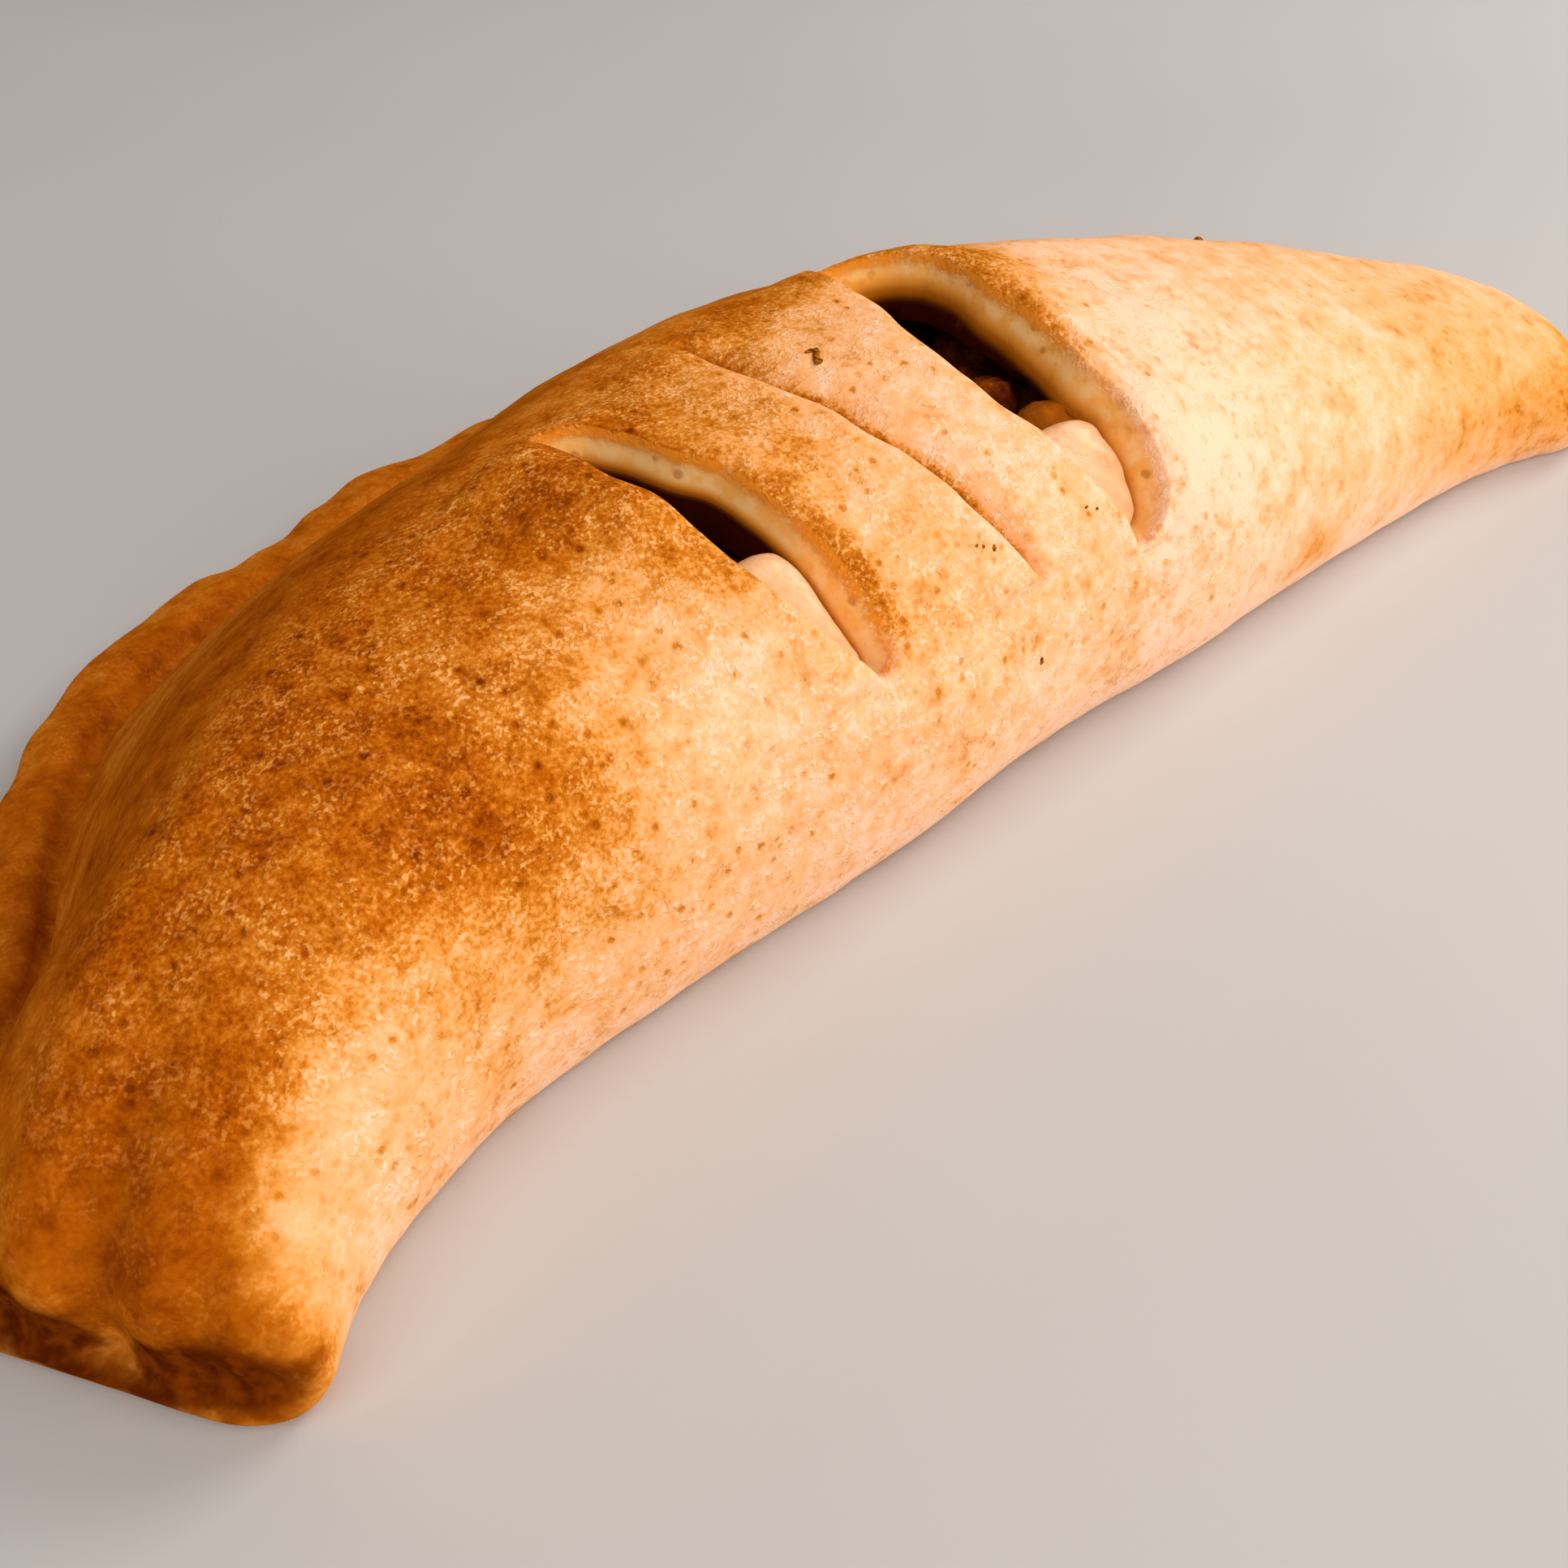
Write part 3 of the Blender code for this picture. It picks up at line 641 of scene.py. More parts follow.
def tube_faces(grid, skip=None):
    """Quads of a grid of vertex numbers whose rows close on themselves, less those in `skip`."""
    after = np.roll(grid, -1, axis=0)
    quads = np.stack([grid[:, :-1], grid[:, 1:], after[:, 1:], after[:, :-1]], axis=-1)
    return quads.reshape(-1, 4) if skip is None else quads[~skip]


def end_caps(grid):
    """One face across each end of such a tube."""
    return [grid[:, 0].tolist(), grid[:, -1].tolist()]


def crust_faces():
    """Outer cells, lining cells and the strips that join them round each hole."""
    outer = np.arange(OUTER[..., 0].size).reshape(OUTER.shape[:2])
    inner = outer.size + np.arange(LINING[..., 0].size).reshape(LINING.shape[:2])
    skip, inner_skip = [np.zeros((len(grid), grid.shape[1] - 1), bool) for grid in (outer, inner)]
    strips = []
    for first, last, near in HOLES:
        low, left = np.searchsorted(LINING_ROWS, first), np.searchsorted(LINING_COLUMNS, near)
        high = low + last - first
        skip[first:last, near] = inner_skip[low:high, left] = True
        hole, inner_hole = outer[first:last + 1, near:near + 2], inner[low:high + 1, left:left + 2]
        for edge in ((..., 0), (..., 1), (0, ...), (-1, ...)):
            a, b = hole[edge], inner_hole[edge]
            strips.append(np.stack([a[:-1], a[1:], b[1:], b[:-1]], axis=-1))
    quads = np.concatenate([tube_faces(outer, skip), tube_faces(inner, inner_skip), *strips])
    return quads.tolist() + end_caps(inner)


def make_piece(name, points, faces, fields=None):
    """A mesh at the origin with its named fields, merged at the poles, faces outwards."""
    mesh = bpy.data.meshes.new(name)
    mesh.from_pydata(points, [], faces)
    for field, values in (fields or {}).items():
        layer = mesh.attributes.new(field, "FLOAT", "POINT")
        layer.data.foreach_set("value", np.asarray(values, np.float32))
    work = bmesh.new()
    work.from_mesh(mesh)
    bmesh.ops.remove_doubles(work, verts=work.verts, dist=MERGE)
    bmesh.ops.recalc_face_normals(work, faces=work.faces)
    loose = sum(not edge.is_manifold for edge in work.edges)
    work.to_mesh(mesh)
    work.free()
    mesh.shade_smooth()
    mesh.calc_loop_triangles()
    print(name, "has", len(mesh.loop_triangles), "triangles and", loose, "open edges")
    return add_item(name, mesh)


def rings_piece(name, shells, fields=None):
    """One piece from several closed tubes, each rings by sides by 3."""
    faces, first = [], 0
    for shell in shells:
        grid = first + np.arange(shell[..., 0].size).reshape(shell.shape[:2]).T
        faces += tube_faces(grid).tolist() + end_caps(grid)
        first += grid.size
    points = np.concatenate([shell.reshape(-1, 3) for shell in shells])
    return make_piece(name, points, faces, fields)


# %% [markdown]
# ## How brown each place is
#
# An oven browns what stands up and leaves pale what is sheltered, stretched or thick. That is a
# map and not a pattern, so the mesh keeps it: `bake` goes from 0 for pale cream to 1 for deep
# brown. Each patch, a bell curve with its place, two half widths and its strength, takes its
# share of what is missing to a full brown, so that patches that overlap never get too dark. Some
# of the pale patches are painted highlight, where the light falls brightest on the right body and
# beside the right slit.

# %% Patches of the browning map
AROUND_LENGTH = 205  # the skin's length from around 0 to around 1, in millimetres
# along, around, half width along, half width around (millimetres), strength
BROWNING = (
    (0.165, 0.33, 15, 22, 0.92), (0.18, 0.25, 10, 16, 0.5), (0.14, 0.44, 30, 14, 0.65),
    (0.03, 0.41, 18, 18, 0.85), (0.006, 0.28, 6, 45, 0.85), (0.3, 0.425, 14, 7, 0.7),
    (0.004, 0.05, 5, 20, 0.7), (0.12, 0.34, 20, 10, 0.3), (0.25, 0.44, 18, 10, 0.5),
    (0.24, 0.56, 50, 26, 0.7), (0.1, 0.7, 60, 60, 0.9), (0.2, 0.9, 60, 16, 0.62),
    (0.4, 0.92, 70, 16, 0.65), (0.56, 0.9, 40, 12, 0.45), (0.4, 0.49, 18, 8, 0.5),
    (0.47, 0.51, 14, 8, 0.55), (0.572, 0.46, 8, 12, 0.6), (0.54, 0.57, 20, 12, 0.55),
    (0.38, 0.39, 6, 12, 0.3), (0.362, 0.28, 2.8, 14, 0.5), (0.345, 0.445, 8, 5, 0.45),
    (0.55, 0.34, 3.5, 20, 0.35), (0.42, 0.6, 70, 20, 0.6), (0.695, 0.085, 7, 6, 0.4),
    (0.93, 0.13, 34, 22, 0.36), (0.85, 0.28, 20, 30, 0.2), (0.985, 0.25, 12, 30, 0.62),
    (0.046, 0.33, 14, 11, 0.8), (0.307, 0.352, 6, 10, 0.45), (0.404, 0.32, 8, 16, 0.06),
)
# paler patches, columns as above: paler dough, and on the right body and beside the right slit
# painted highlight
PALE_AND_HIGHLIGHT = (
    (0.275, 0.22, 14, 18, 0.14), (0.06, 0.19, 18, 18, 0.1), (0.62, 0.35, 18, 40, 0.13),
    (0.765, 0.26, 22, 30, 0.05), (0.6, 0.2, 14, 12, 0.1), (0.47, 0.33, 10, 20, 0.06),
    (0.57, 0.27, 4.5, 18, 0.14), (0.345, 0.17, 6, 8, 0.12), (0.548, 0.16, 5, 10, 0.16),
)
BAKE_BASE, BAKE_TOP = 0.24, 0.85
BAKE_LEFT = (0.1, 0.55, 0.12)  # the left is browner: fades from, over, by
FOLD_PALE = (0.17, 0.16)  # the fold's foot pales below this `around`, by this much
LIP_BROWN = (0.0022, 0.42)  # width and strength of the brown line on a far lip
TAN_RUN = 0.3  # share of the slit's length over which that line fades in
BURN = (0.006, 0.005, 0.95)  # height, width and strength of the burnt band on the blunt end
BURN_REACH, BURN_BREAK = 0.012, (0.75, 0.5, 0.006, 31)
BURN_FADE = (0.0085, 0.017, 0.28)  # it fades to the back: from, over, by
BURN_GAP = (-0.0085, 0.003, 0.85)  # and pales on the pleat's ridge: across, width, by


def patch(along, around, row):
    """Bell curve in two directions round a place on the skin."""
    place, turn, half_along, half_around, strength = row
    return strength * bump((along - place) * LENGTH * 1000, half_along) * bump(
        (around - turn) * AROUND_LENGTH, half_around)


def lip_tan(slit, around):
    """How far the far lip is browned, from `tan_from` on."""
    return rise(slit_share(slit, around), slit.tan_from, TAN_RUN)


def bake_level(along, around):
    """How brown the skin is, from its place alone."""
    left = 1.0
    for row in BROWNING:
        left = left * (1 - patch(along, around, row))
    width, strength = LIP_BROWN
    for slit in SLITS.values():
        if slit.hollow:
            beyond = (along - far_lip(slit, around)) * LENGTH
            tan = lip_tan(slit, around) * slit_lens(slit, around)
            left = left * (1 - strength * tan * bump(beyond, width))
    start, run, strength = BAKE_LEFT
    base = BAKE_BASE + strength * (1 - rise(along, start, run))
    base = base - sum(patch(along, around, row) for row in PALE_AND_HIGHLIGHT)
    foot, strength = FOLD_PALE
    base = base - strength * (1 - smooth_step(around / foot))
    return BAKE_TOP + (base - BAKE_TOP) * left


def burn_level(along, around):
    """The burnt band across the blunt end: 1 is black-brown."""
    across, height = section(along, around)
    middle, wave, size, seed = BURN_BREAK
    broken = middle + wave * lattice_noise(bend(along, across, height), size, seed)
    start, run, fade = BURN_FADE
    broken = broken * (1 - fade + fade * smooth_step((start - across) / run))
    place, half, gap = BURN_GAP
    broken = broken * (1 - gap * bump(across - place, half))
    place, half, strength = BURN
    return strength * bump(height - place, half) * bump(along, BURN_REACH) * broken


# %% Fields of the crust
# each a start and a run: down a slit's wall, and along the slit for the rim's change; the rim
# is real toasting at first and painted shade where it darkens towards the hole
CLOSED_DOWN, CUT_DOWN, TAN_DOWN, TAN_END = (0.35, 0.55), (0.14, 0.36), (0.02, 0.16), (0.18, 0.3)
NEAR_DOWN, RIM_TURN = (0.0, 0.45), (0.45, 0.35)
# the closed slit's groove darkens beside the near lip: painted shade under the lip, partly toast
CLOSED_TOAST_AND_SHADE = 0.58  # browner by this much down in the closed slit
CALM, CALM_END, CALM_BACK = 0.75, 0.05, (0.46, 0.12)  # stretched dough is smooth: end, back
CALM_TIP = (0.56, 0.12, 0.8)  # ... and the tip: from, over, strength
UNDER_BAKE = 0.62
# the lining takes the near-black colour all over (`inside`): painted shade in the hollow
LINING_FIELDS = dict(bake=0.2, burn=0.0, cut=1.0, rim=1.0, tan=0.0, inside=1.0, calm=1.0)


def crust_fields():
    """One number per vertex: `cut` is 1 on a cut face, `tan` is the brown line at its top
    edge, and the rim's field rises towards the edge of a hole, first as toasting and then as
    painted shade down into it."""
    under = (0, OUTER.shape[0] - len(ROWS)), (0, 0)
    along, around = np.pad(ALONG, under, "edge"), np.pad(AROUND, under, "edge")
    sunk = np.pad(SUNK, under)
    cut, rim, tan, shade = (np.zeros(along.shape) for _ in range(4))
    for number, slit in enumerate(SLITS.values()):
        mine = KINDS == number
        down = sunk[:, mine] / slit.depth
        if not slit.hollow:
            shade[:, mine] = CLOSED_TOAST_AND_SHADE * rise(down, *CLOSED_DOWN)
            continue
        far_side = CUT_SHARE[mine] > -1
        front_start, back_start, run = slit.rim
        back = rise(slit_share(slit, around[:, mine]), *RIM_TURN)
        start = front_start + (back_start - front_start) * back
        cut[:, mine] = far_side * rise(down, *CUT_DOWN)
        line = rise(down, *TAN_DOWN) * (1 - rise(down, *TAN_END))
        tan[:, mine] = far_side * line * lip_tan(slit, around[:, mine])
        # the rim: toasting, then painted shade down at the hole; on the near wall under the lip it
        # is painted shade from the top
        rim[:, mine] = np.where(far_side, rise(down, start, run), rise(down, *NEAR_DOWN))
    bake = bake_level(along, around) + shade
    bake[len(ROWS):] = UNDER_BAKE
    calm = 1 - (1 - bump(along, CALM_END)) * (1 - rise(around, *CALM_BACK))
    calm = CALM * np.maximum(calm, CALM_TIP[2] * rise(along, *CALM_TIP[:2]))
    fields = dict(bake=bake, burn=burn_level(along, around), cut=cut, rim=rim, tan=tan,
                  inside=0 * along, calm=calm)
    count = LINING[..., 0].size
    return {name: np.append(field, np.full(count, LINING_FIELDS[name]))
            for name, field in fields.items()}


crust = make_piece("crust", np.concatenate([OUTER.reshape(-1, 3), LINING.reshape(-1, 3)]),
                   crust_faces(), crust_fields())
crust.data.set_sharp_from_angle(angle=math.radians(75))
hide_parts("dough")
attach(crust, "root")

# %% [markdown]
# ## Shader maths in Python
#
# A node tree drawn by hand is hard to read back. Here a class wraps one output socket and
# overloads the arithmetic operators, so that `level + 0.2 * grain` adds the Math nodes it stands
# for. Every other node comes from one method of the finish being made.

# %% A socket that can be calculated with
class Wire:
    """One output socket of a finish's node tree."""

    def __init__(self, finish, socket):
        self.finish, self.socket = finish, socket

    def maths(self, operation, other, swap=False):
        pair = {0: other, 1: self} if swap else {0: self, 1: other}
        return self.finish.node("Math", {"operation": operation}, pair)

    __add__ = __radd__ = partialmethod(maths, "ADD")
    __mul__ = __rmul__ = partialmethod(maths, "MULTIPLY")
    __sub__ = partialmethod(maths, "SUBTRACT")
    __rsub__ = partialmethod(maths, "SUBTRACT", swap=True)

    def band(self, low, high):
        """0 below low, 1 above high, smooth between; low may be the larger."""
        if low > high:
            return 1 - self.band(high, low)
        return self.finish.node("MapRange", {"interpolation_type": "SMOOTHSTEP"},
                                {0: self, 1: low, 2: high})


class Finish:
    """A material whose nodes are added one call at a time."""

    def __init__(self, name):
        self.material = bpy.data.materials.new(name)
        self.material.use_nodes = True
        self.tree = self.material.node_tree
        self.tree.nodes.clear()
        self.place = self.node("TexCoord", output="Object")

    def node(self, kind, settings=None, sockets=None, output=0):
        """Add a node, its settings, its sockets by index or name; returns one output."""
        node = self.tree.nodes.new("ShaderNode" + kind)
        for name, value in (settings or {}).items():
            setattr(node, name, value)
        for key, value in (sockets or {}).items():
            if isinstance(value, Wire):
                self.tree.links.new(value.socket, node.inputs[key])
            else:
                node.inputs[key].default_value = value
        return Wire(self, node.outputs[output])

    def noise(self, size, detail=2.0, roughness=0.5):
        """Noise with lumps of about `size` metres, around 0.5."""
        return self.node("TexNoise", {}, {
            "Vector": self.place, "Scale": 1 / size, "Detail": detail, "Roughness": roughness})

    def cells(self, size, output="Distance"):
        """Voronoi cells `size` metres apart: distance to the centre, or its colour."""
        return self.node("TexVoronoi", {}, {"Vector": self.place, "Scale": 1 / size}, output)

    def field(self, name):
        """A number kept on the mesh's vertices."""
        return self.node("Attribute", {"attribute_name": name}, output="Fac")

    def ramp(self, level, *stops):
        """The colour at a level, from (place, colour) stops."""
        wire = self.node("ValToRGB", {}, {0: level})
        elements = wire.socket.node.color_ramp.elements
        while len(elements) < len(stops):
            elements.new(1.0)
        for element, (place, colour) in zip(elements, stops):
            element.position, element.color = place, (*colour, 1.0)
        return wire

    def mix(self, share, colour_a, colour_b):
        """Colour a where share is 0, colour b where it is 1."""
        a, b = [colour if isinstance(colour, Wire) else (*colour, 1.0)
                for colour in (colour_a, colour_b)]
        return self.node("Mix", {"data_type": "RGBA"}, {0: share, 6: a, 7: b}, 2)

    def close(self, colour, roughness, height, depth, **shader):
        """End the tree in a Principled shader with a bump of `depth` metres."""
        normal = self.node("Bump", {}, {"Height": height, "Distance": depth})
        sockets = {"Base Color": colour, "Roughness": roughness, "Normal": normal}
        sockets.update({name.replace("_", " "): value for name, value in shader.items()})
        surface = self.node("BsdfPrincipled", {}, sockets)
        end = self.tree.nodes.new("ShaderNodeOutputMaterial")
        self.tree.links.new(surface.socket, end.inputs["Surface"])
        return self.material


print("wire operators: +, -, *, 1 - mask, band")

# %% [markdown]
# ## Baked dough
#
# Close up, the crust is an orange-brown ground under a net of pale specks where tiny blisters
# lifted the skin, with round brown pores between them. The specks also stand in for the glints on
# those blisters: painted highlight, as the crust has no specular reflection. The colour is read
# from one ramp by the broad map plus noises of three sizes. Specks and pores feed the bump too,
# so that light catches the same blisters that the colour shows.

# %% Colours of the crust
CREAM, GOLD = (0.95, 0.61, 0.43), (0.91, 0.48, 0.24)
ORANGE, BROWN = (0.6, 0.19, 0.015), (0.46, 0.11, 0.003)
DEEP, BURNT = (0.3, 0.056, 0.001), (0.085, 0.012, 0.0006)
CHARRED = (0.2, 0.038, 0.001)
CRUMB, CRUMB_SHADE = (0.99, 0.6, 0.24), (0.97, 0.46, 0.1)
# rim of a hole: OLIVE and TOASTED crust, then near black as painted shade at its edge and in the
# hollow
OLIVE, TOASTED = (0.86, 0.34, 0.045), (0.4, 0.11, 0.003)
EDGE, PAINTED_HOLE_SHADE = (0.86, 0.28, 0.02), (0.032, 0.003, 0.001)
# SPECK: pale blistered skin, partly painted highlight for the glints on it
SPECK, PORE = (0.95, 0.57, 0.22), (0.46, 0.13, 0.008)
CRUST_RAMP = ((0.08, CREAM), (0.23, GOLD), (0.36, (0.86, 0.39, 0.14)),
              (0.46, (0.75, 0.3, 0.06)), (0.58, ORANGE), (0.72, BROWN), (0.88, DEEP),
              (1.0, (0.19, 0.028, 0.0006)))


# %% The crust's finish
def baked_dough():
    finish = Finish("baked_dough")
    mix, noise, cells, field = finish.mix, finish.noise, finish.cells, finish.field
    blotch, mottle = noise(0.006, 3.0), noise(0.0022, 2.0, 0.6)
    grain = noise(0.0006, 2.0, 0.6)
    lively = 1 - field("calm")
    cluster = noise(0.004, 1.0).band(0.34, 0.62) * lively
    blister = cells(0.0008).band(0.4, 0.14) * cluster
    flake = noise(0.0007, 1.0).band(0.52, 0.66) * cluster
    # the pale specks: blistered skin, partly painted highlight for the glints on the blisters
    pale = (0.8 * blister).maths("MAXIMUM", flake)
    spot, which = cells(0.0024), cells(0.0024, "Color")
    dimple = (spot + 0.5 * (grain - 0.5)).band(0.34, 0.1) * which.band(0.4, 0.56) * lively
    pore = (spot + 0.3 * (grain - 0.5)).band(0.24, 0.08) * which.band(0.66, 0.7) * lively
    bake = field("bake")
    fine = (0.3 + 0.4 * bake.band(0.25, 0.6)) * lively
    level = (bake + 0.44 * (blotch - 0.5) + (0.16 + 0.3 * lively) * (mottle - 0.5)
             + fine * (grain - 0.5) - 0.18 * pale + 0.15 * dimple + 0.1 * pore)
    colour = mix(0.12 * pale, finish.ramp(level, *CRUST_RAMP), SPECK)

    cut, rim, inside = field("cut"), field("rim"), field("inside")
    crumb = mix(noise(0.003, 3.0).band(0.38, 0.66), CRUMB, CRUMB_SHADE)
    hole = cells(0.003).band(0.3, 0.14) * noise(0.006).band(0.5, 0.56)
    crumb = mix(0.6 * hole, crumb, PORE)
    colour = mix(cut, colour, crumb)
    tan = field("tan") * (1 + 2.4 * (mottle - 0.5) + 1.6 * (blotch - 0.5))
    colour = mix(0.8 * tan.band(0.25, 1.0), colour, EDGE)
    # down the rim: olive, then toasted crust, then painted shade at the hole's edge
    colour = mix(rim.band(0.0, 0.35), colour, OLIVE)
    colour = mix(rim.band(0.25, 0.75), colour, TOASTED)
    colour = mix(rim.band(0.7, 1.0), colour, PAINTED_HOLE_SHADE)
    # the whole lining is painted near black: painted shade in the hollow
    colour = mix(inside, colour, PAINTED_HOLE_SHADE)
    burn = (field("burn") + 0.4 * (blotch - 0.5) + 0.4 * (mottle - 0.5)).band(0.02, 0.42)
    colour = mix(burn, colour, mix(mottle.band(0.72, 0.3), CHARRED, BURNT))

    skin = 1 - cut
    height = (0.3 * mottle + skin * lively * (0.45 * grain + 0.45 * pale)
              - 0.5 * (skin * pore) - 0.35 * (skin * dimple) - 0.2 * (cut * hole))
    roughness = 0.5 - 0.12 * mottle + 0.15 * cut
    return finish.close(colour, roughness, height, 0.00022, Specular_IOR_Level=0.0,
                        Subsurface_Weight=0.06, Subsurface_Radius=(0.003, 0.0015, 0.0006),
                        Subsurface_Scale=1.0)


crust.data.materials.append(baked_dough())
print("crust finish:", len(crust.data.materials[0].node_tree.nodes), "nodes")

# %% [markdown]
# ## Melted cheese
#
# The cheese lies along the fold side of the filling and swells up into the front halves of the
# two open slits. The bed is the plain solid's own formula on a finer grid. A pillow is a ring
# carried along the slit: a superellipse as wide as the opening, with two blunt ends.

# %% Sizes of the cheese
TOUCH = 0.0003
CHEESE_BACK, CHEESE_FRONT, CHEESE_SPAN = -0.02, 0.2, (0.23, 0.72)
CHEESE_EDGE, CHEESE_THIN, CHEESE_END = 0.25, 0.0008, 0.02
CHEESE_GAP, BED_GAP = 0.001, 0.0006
FILLING_SHARE = 0.55
PILLOW_SHARES = {"left": (0.02, 0.49), "right": (0.02, 0.39)}
PILLOW_DROP, PILLOW_DEPTH = 0.0024, 0.009  # top and foot of a pillow below the skin
PILLOW_ROUND, PILLOW_BLUNT = 3.2, 9  # exponents of its section and of its ends
PILLOW_WIDTH, PILLOW_TUCK = 0.98, 0.0016  # share of the hole it fills, reach under the lip
PILLOW_SINK, PILLOW_LIFT = 0.003, 0.6  # how far its ends sink, its share of the lips' rise
RIPPLES = ((0.0042, 0.00035, 41), (0.0014, 0.00012, 42))


def filling_bed(along):
    """Height of the level bed of filling: a share of the hollow's."""
    floor, roof = hollow_size(along, TOUCH)[2:]
    return floor + FILLING_SHARE * (roof - floor)


def cheese_bed():
    """Rings: the hollow's roof from the fold up to a line, then back over the filling. The
    line's `around` turns the bulge's formula round."""
    start, end = CHEESE_SPAN
    along = np.linspace(start, end, 121)[:, None]
    fold = hollow_size(along, CHEESE_GAP)[0]
    angle = np.arccos(np.clip(-CHEESE_BACK / fold, 0, 1) ** (BULGE / 2))
    last = SIDE_END + angle / (math.pi / 2) * (RIDGE - SIDE_END)
    share = np.linspace(0, 1, 25)
    across, roof = hollow_skin(along, CHEESE_FRONT + share * (last - CHEESE_FRONT), CHEESE_GAP)
    low = filling_bed(along) + BED_GAP
    place = (along - start) / (end - start)
    swell = (4 * place * (1 - place)).clip(CHEESE_END) ** HOLLOW_BLUNT
    rounded = CHEESE_EDGE + (1 - CHEESE_EDGE) * (1 - share ** 6) ** 0.5
    top = low + np.maximum(roof - low, CHEESE_THIN) * rounded * swell
    height = np.hstack([top, np.broadcast_to(low, top.shape)])
    return bend(along, np.hstack([across, across[:, ::-1]]), height) + SHIFT


def cheese_pillow(slit, shares):
    """Rings of a pillow: sideways is cos(a) and up is sin(a), each to the power 2/n."""
    t = np.linspace(0, 1, 61)[:, None]
    share = shares[0] + t * (shares[1] - shares[0])
    around = slit.front + share * (slit.back - slit.front)
    close = (1 - np.abs(2 * t - 1) ** PILLOW_BLUNT).clip(0) ** 0.5
    half = (PILLOW_WIDTH * slit_widths(slit, around)[0] + PILLOW_TUCK) / 2 * close
    middle = near_lip(slit, around) + (half - PILLOW_TUCK * close) / LENGTH
    angle = stretch(0, 2 * math.pi, 48)
    sideways, up = [np.sign(turn) * np.abs(turn) ** (2 / PILLOW_ROUND)
                    for turn in (np.cos(angle), np.sin(angle))]
    deep = (PILLOW_DROP + PILLOW_DEPTH) / 2 - up * (PILLOW_DEPTH - PILLOW_DROP) / 2 * close
    along = middle + sideways * half / LENGTH
    around = np.broadcast_to(around, along.shape)
    base = plain_skin(along, around)
    lift = layered_noise(base, RIPPLES) + PILLOW_LIFT * lips(along, around)
    lift = lift - deep - PILLOW_SINK * (1 - close)
    return base + outward(along, around) * lift[..., None] + SHIFT


cheese = rings_piece("cheese_body", [cheese_bed()] + [
    cheese_pillow(SLITS[name], shares) for name, shares in PILLOW_SHARES.items()])
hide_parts("cheese")
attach(cheese, "root")


# %% The cheese's finish
def melted_cheese():
    finish = Finish("melted_cheese")
    cloud, grain = finish.noise(0.006, 2.0), finish.noise(0.0012, 2.0, 0.6)
    colour = finish.ramp(cloud + 0.5 * (grain - 0.5), (0.3, (0.73, 0.35, 0.15)),
                         (0.55, (0.81, 0.44, 0.22)), (0.75, (0.88, 0.52, 0.3)))
    spot = finish.noise(0.0035, 1.0).band(0.66, 0.72)
    colour = finish.mix(0.5 * spot, colour, (0.8, 0.42, 0.13))
    return finish.close(colour, 0.3 + 0.15 * cloud, 0.6 * cloud + 0.4 * grain, 0.00025,
                        Specular_IOR_Level=0.35, Subsurface_Weight=0.25,
                        Subsurface_Radius=(0.004, 0.0028, 0.0014), Subsurface_Scale=1.0)


cheese.data.materials.append(melted_cheese())
print("cheese stands up to", round(max(v.co.z for v in cheese.data.vertices) * 1000, 1), "mm")

# %% [markdown]
# ## Meat filling
#
# Under the cheese lies crumbled meat in a dark sauce: again the plain solid's formula on a finer
# grid, with a rougher top. The crumbles in the slits are lumps of their own: balls whose radius
# is pushed in and out by noise, flattened a little.

# %% Sizes of the filling
SIDE_GAP, LUMP_START = 0.0026, 0.004
LUMP_RISE, LUMP_LIFT, LUMP_HEAP = 0.0028, 0.4, 0.0055
LUMPS_ALONG, LUMPS_ACROSS = (118, 260, 1.3), (390, 95, 1.0)
FILLING_SPAN = (0.106, 0.894)
CRUMB_RISE, CRUMB_SIZE = 0.0011, 0.0042


def lump_wave(along, across):
    """Crossed waves that wander, from -1 to 1."""
    rate, wander_rate, wander = LUMPS_ALONG
    one = np.sin(along * rate + wander * np.sin(across * wander_rate))
    rate, wander_rate, wander = LUMPS_ACROSS
    return one * np.sin(across * rate + wander * np.sin(along * wander_rate))


def meat_bed():
    """The plain filling with a crumbly top: noise on the crossed waves."""
    along = np.linspace(*FILLING_SPAN, 201)[:, None]
    around = np.concatenate([stretch(0, RIDGE, 39), np.linspace(RIDGE, HOLLOW_END, 70)])
    across, height = hollow_skin(along, around, SIDE_GAP)
    behind = np.clip((across - CHEESE_BACK) / LUMP_START - 1, 0, 1)
    crumbs = CRUMB_RISE * crumbly_noise(bend(along, across, height), CRUMB_SIZE, 51)
    heap = LUMP_HEAP + LUMP_RISE * (LUMP_LIFT + lump_wave(along, across)) + crumbs
    height = np.minimum(height, filling_bed(along) + behind * heap)
    across, height = close_on_floor(across.T, height.T, CRUST_FLOOR + TOUCH, 4)
    return bend(along, across.T, height.T) + SHIFT


meat = rings_piece("meat_bed", [meat_bed()])


# %% Crumbles that show in the slits
def lumpy_ball(rows, columns, lumps, size, seed, shift):
    """Ball of height cos(a) and ring sin(a) round the turn b, pushed in and out by noise."""
    a = np.linspace(0, math.pi, rows)[:, None]
    b = stretch(0, 2 * math.pi, columns)
    ball = np.stack(np.broadcast_arrays(np.sin(a) * np.cos(b), np.sin(a) * np.sin(b), np.cos(a)),
                    axis=-1)
    return ball * (1 + 0.2 * lumps(ball * size + shift, 1.0, seed)[..., None])


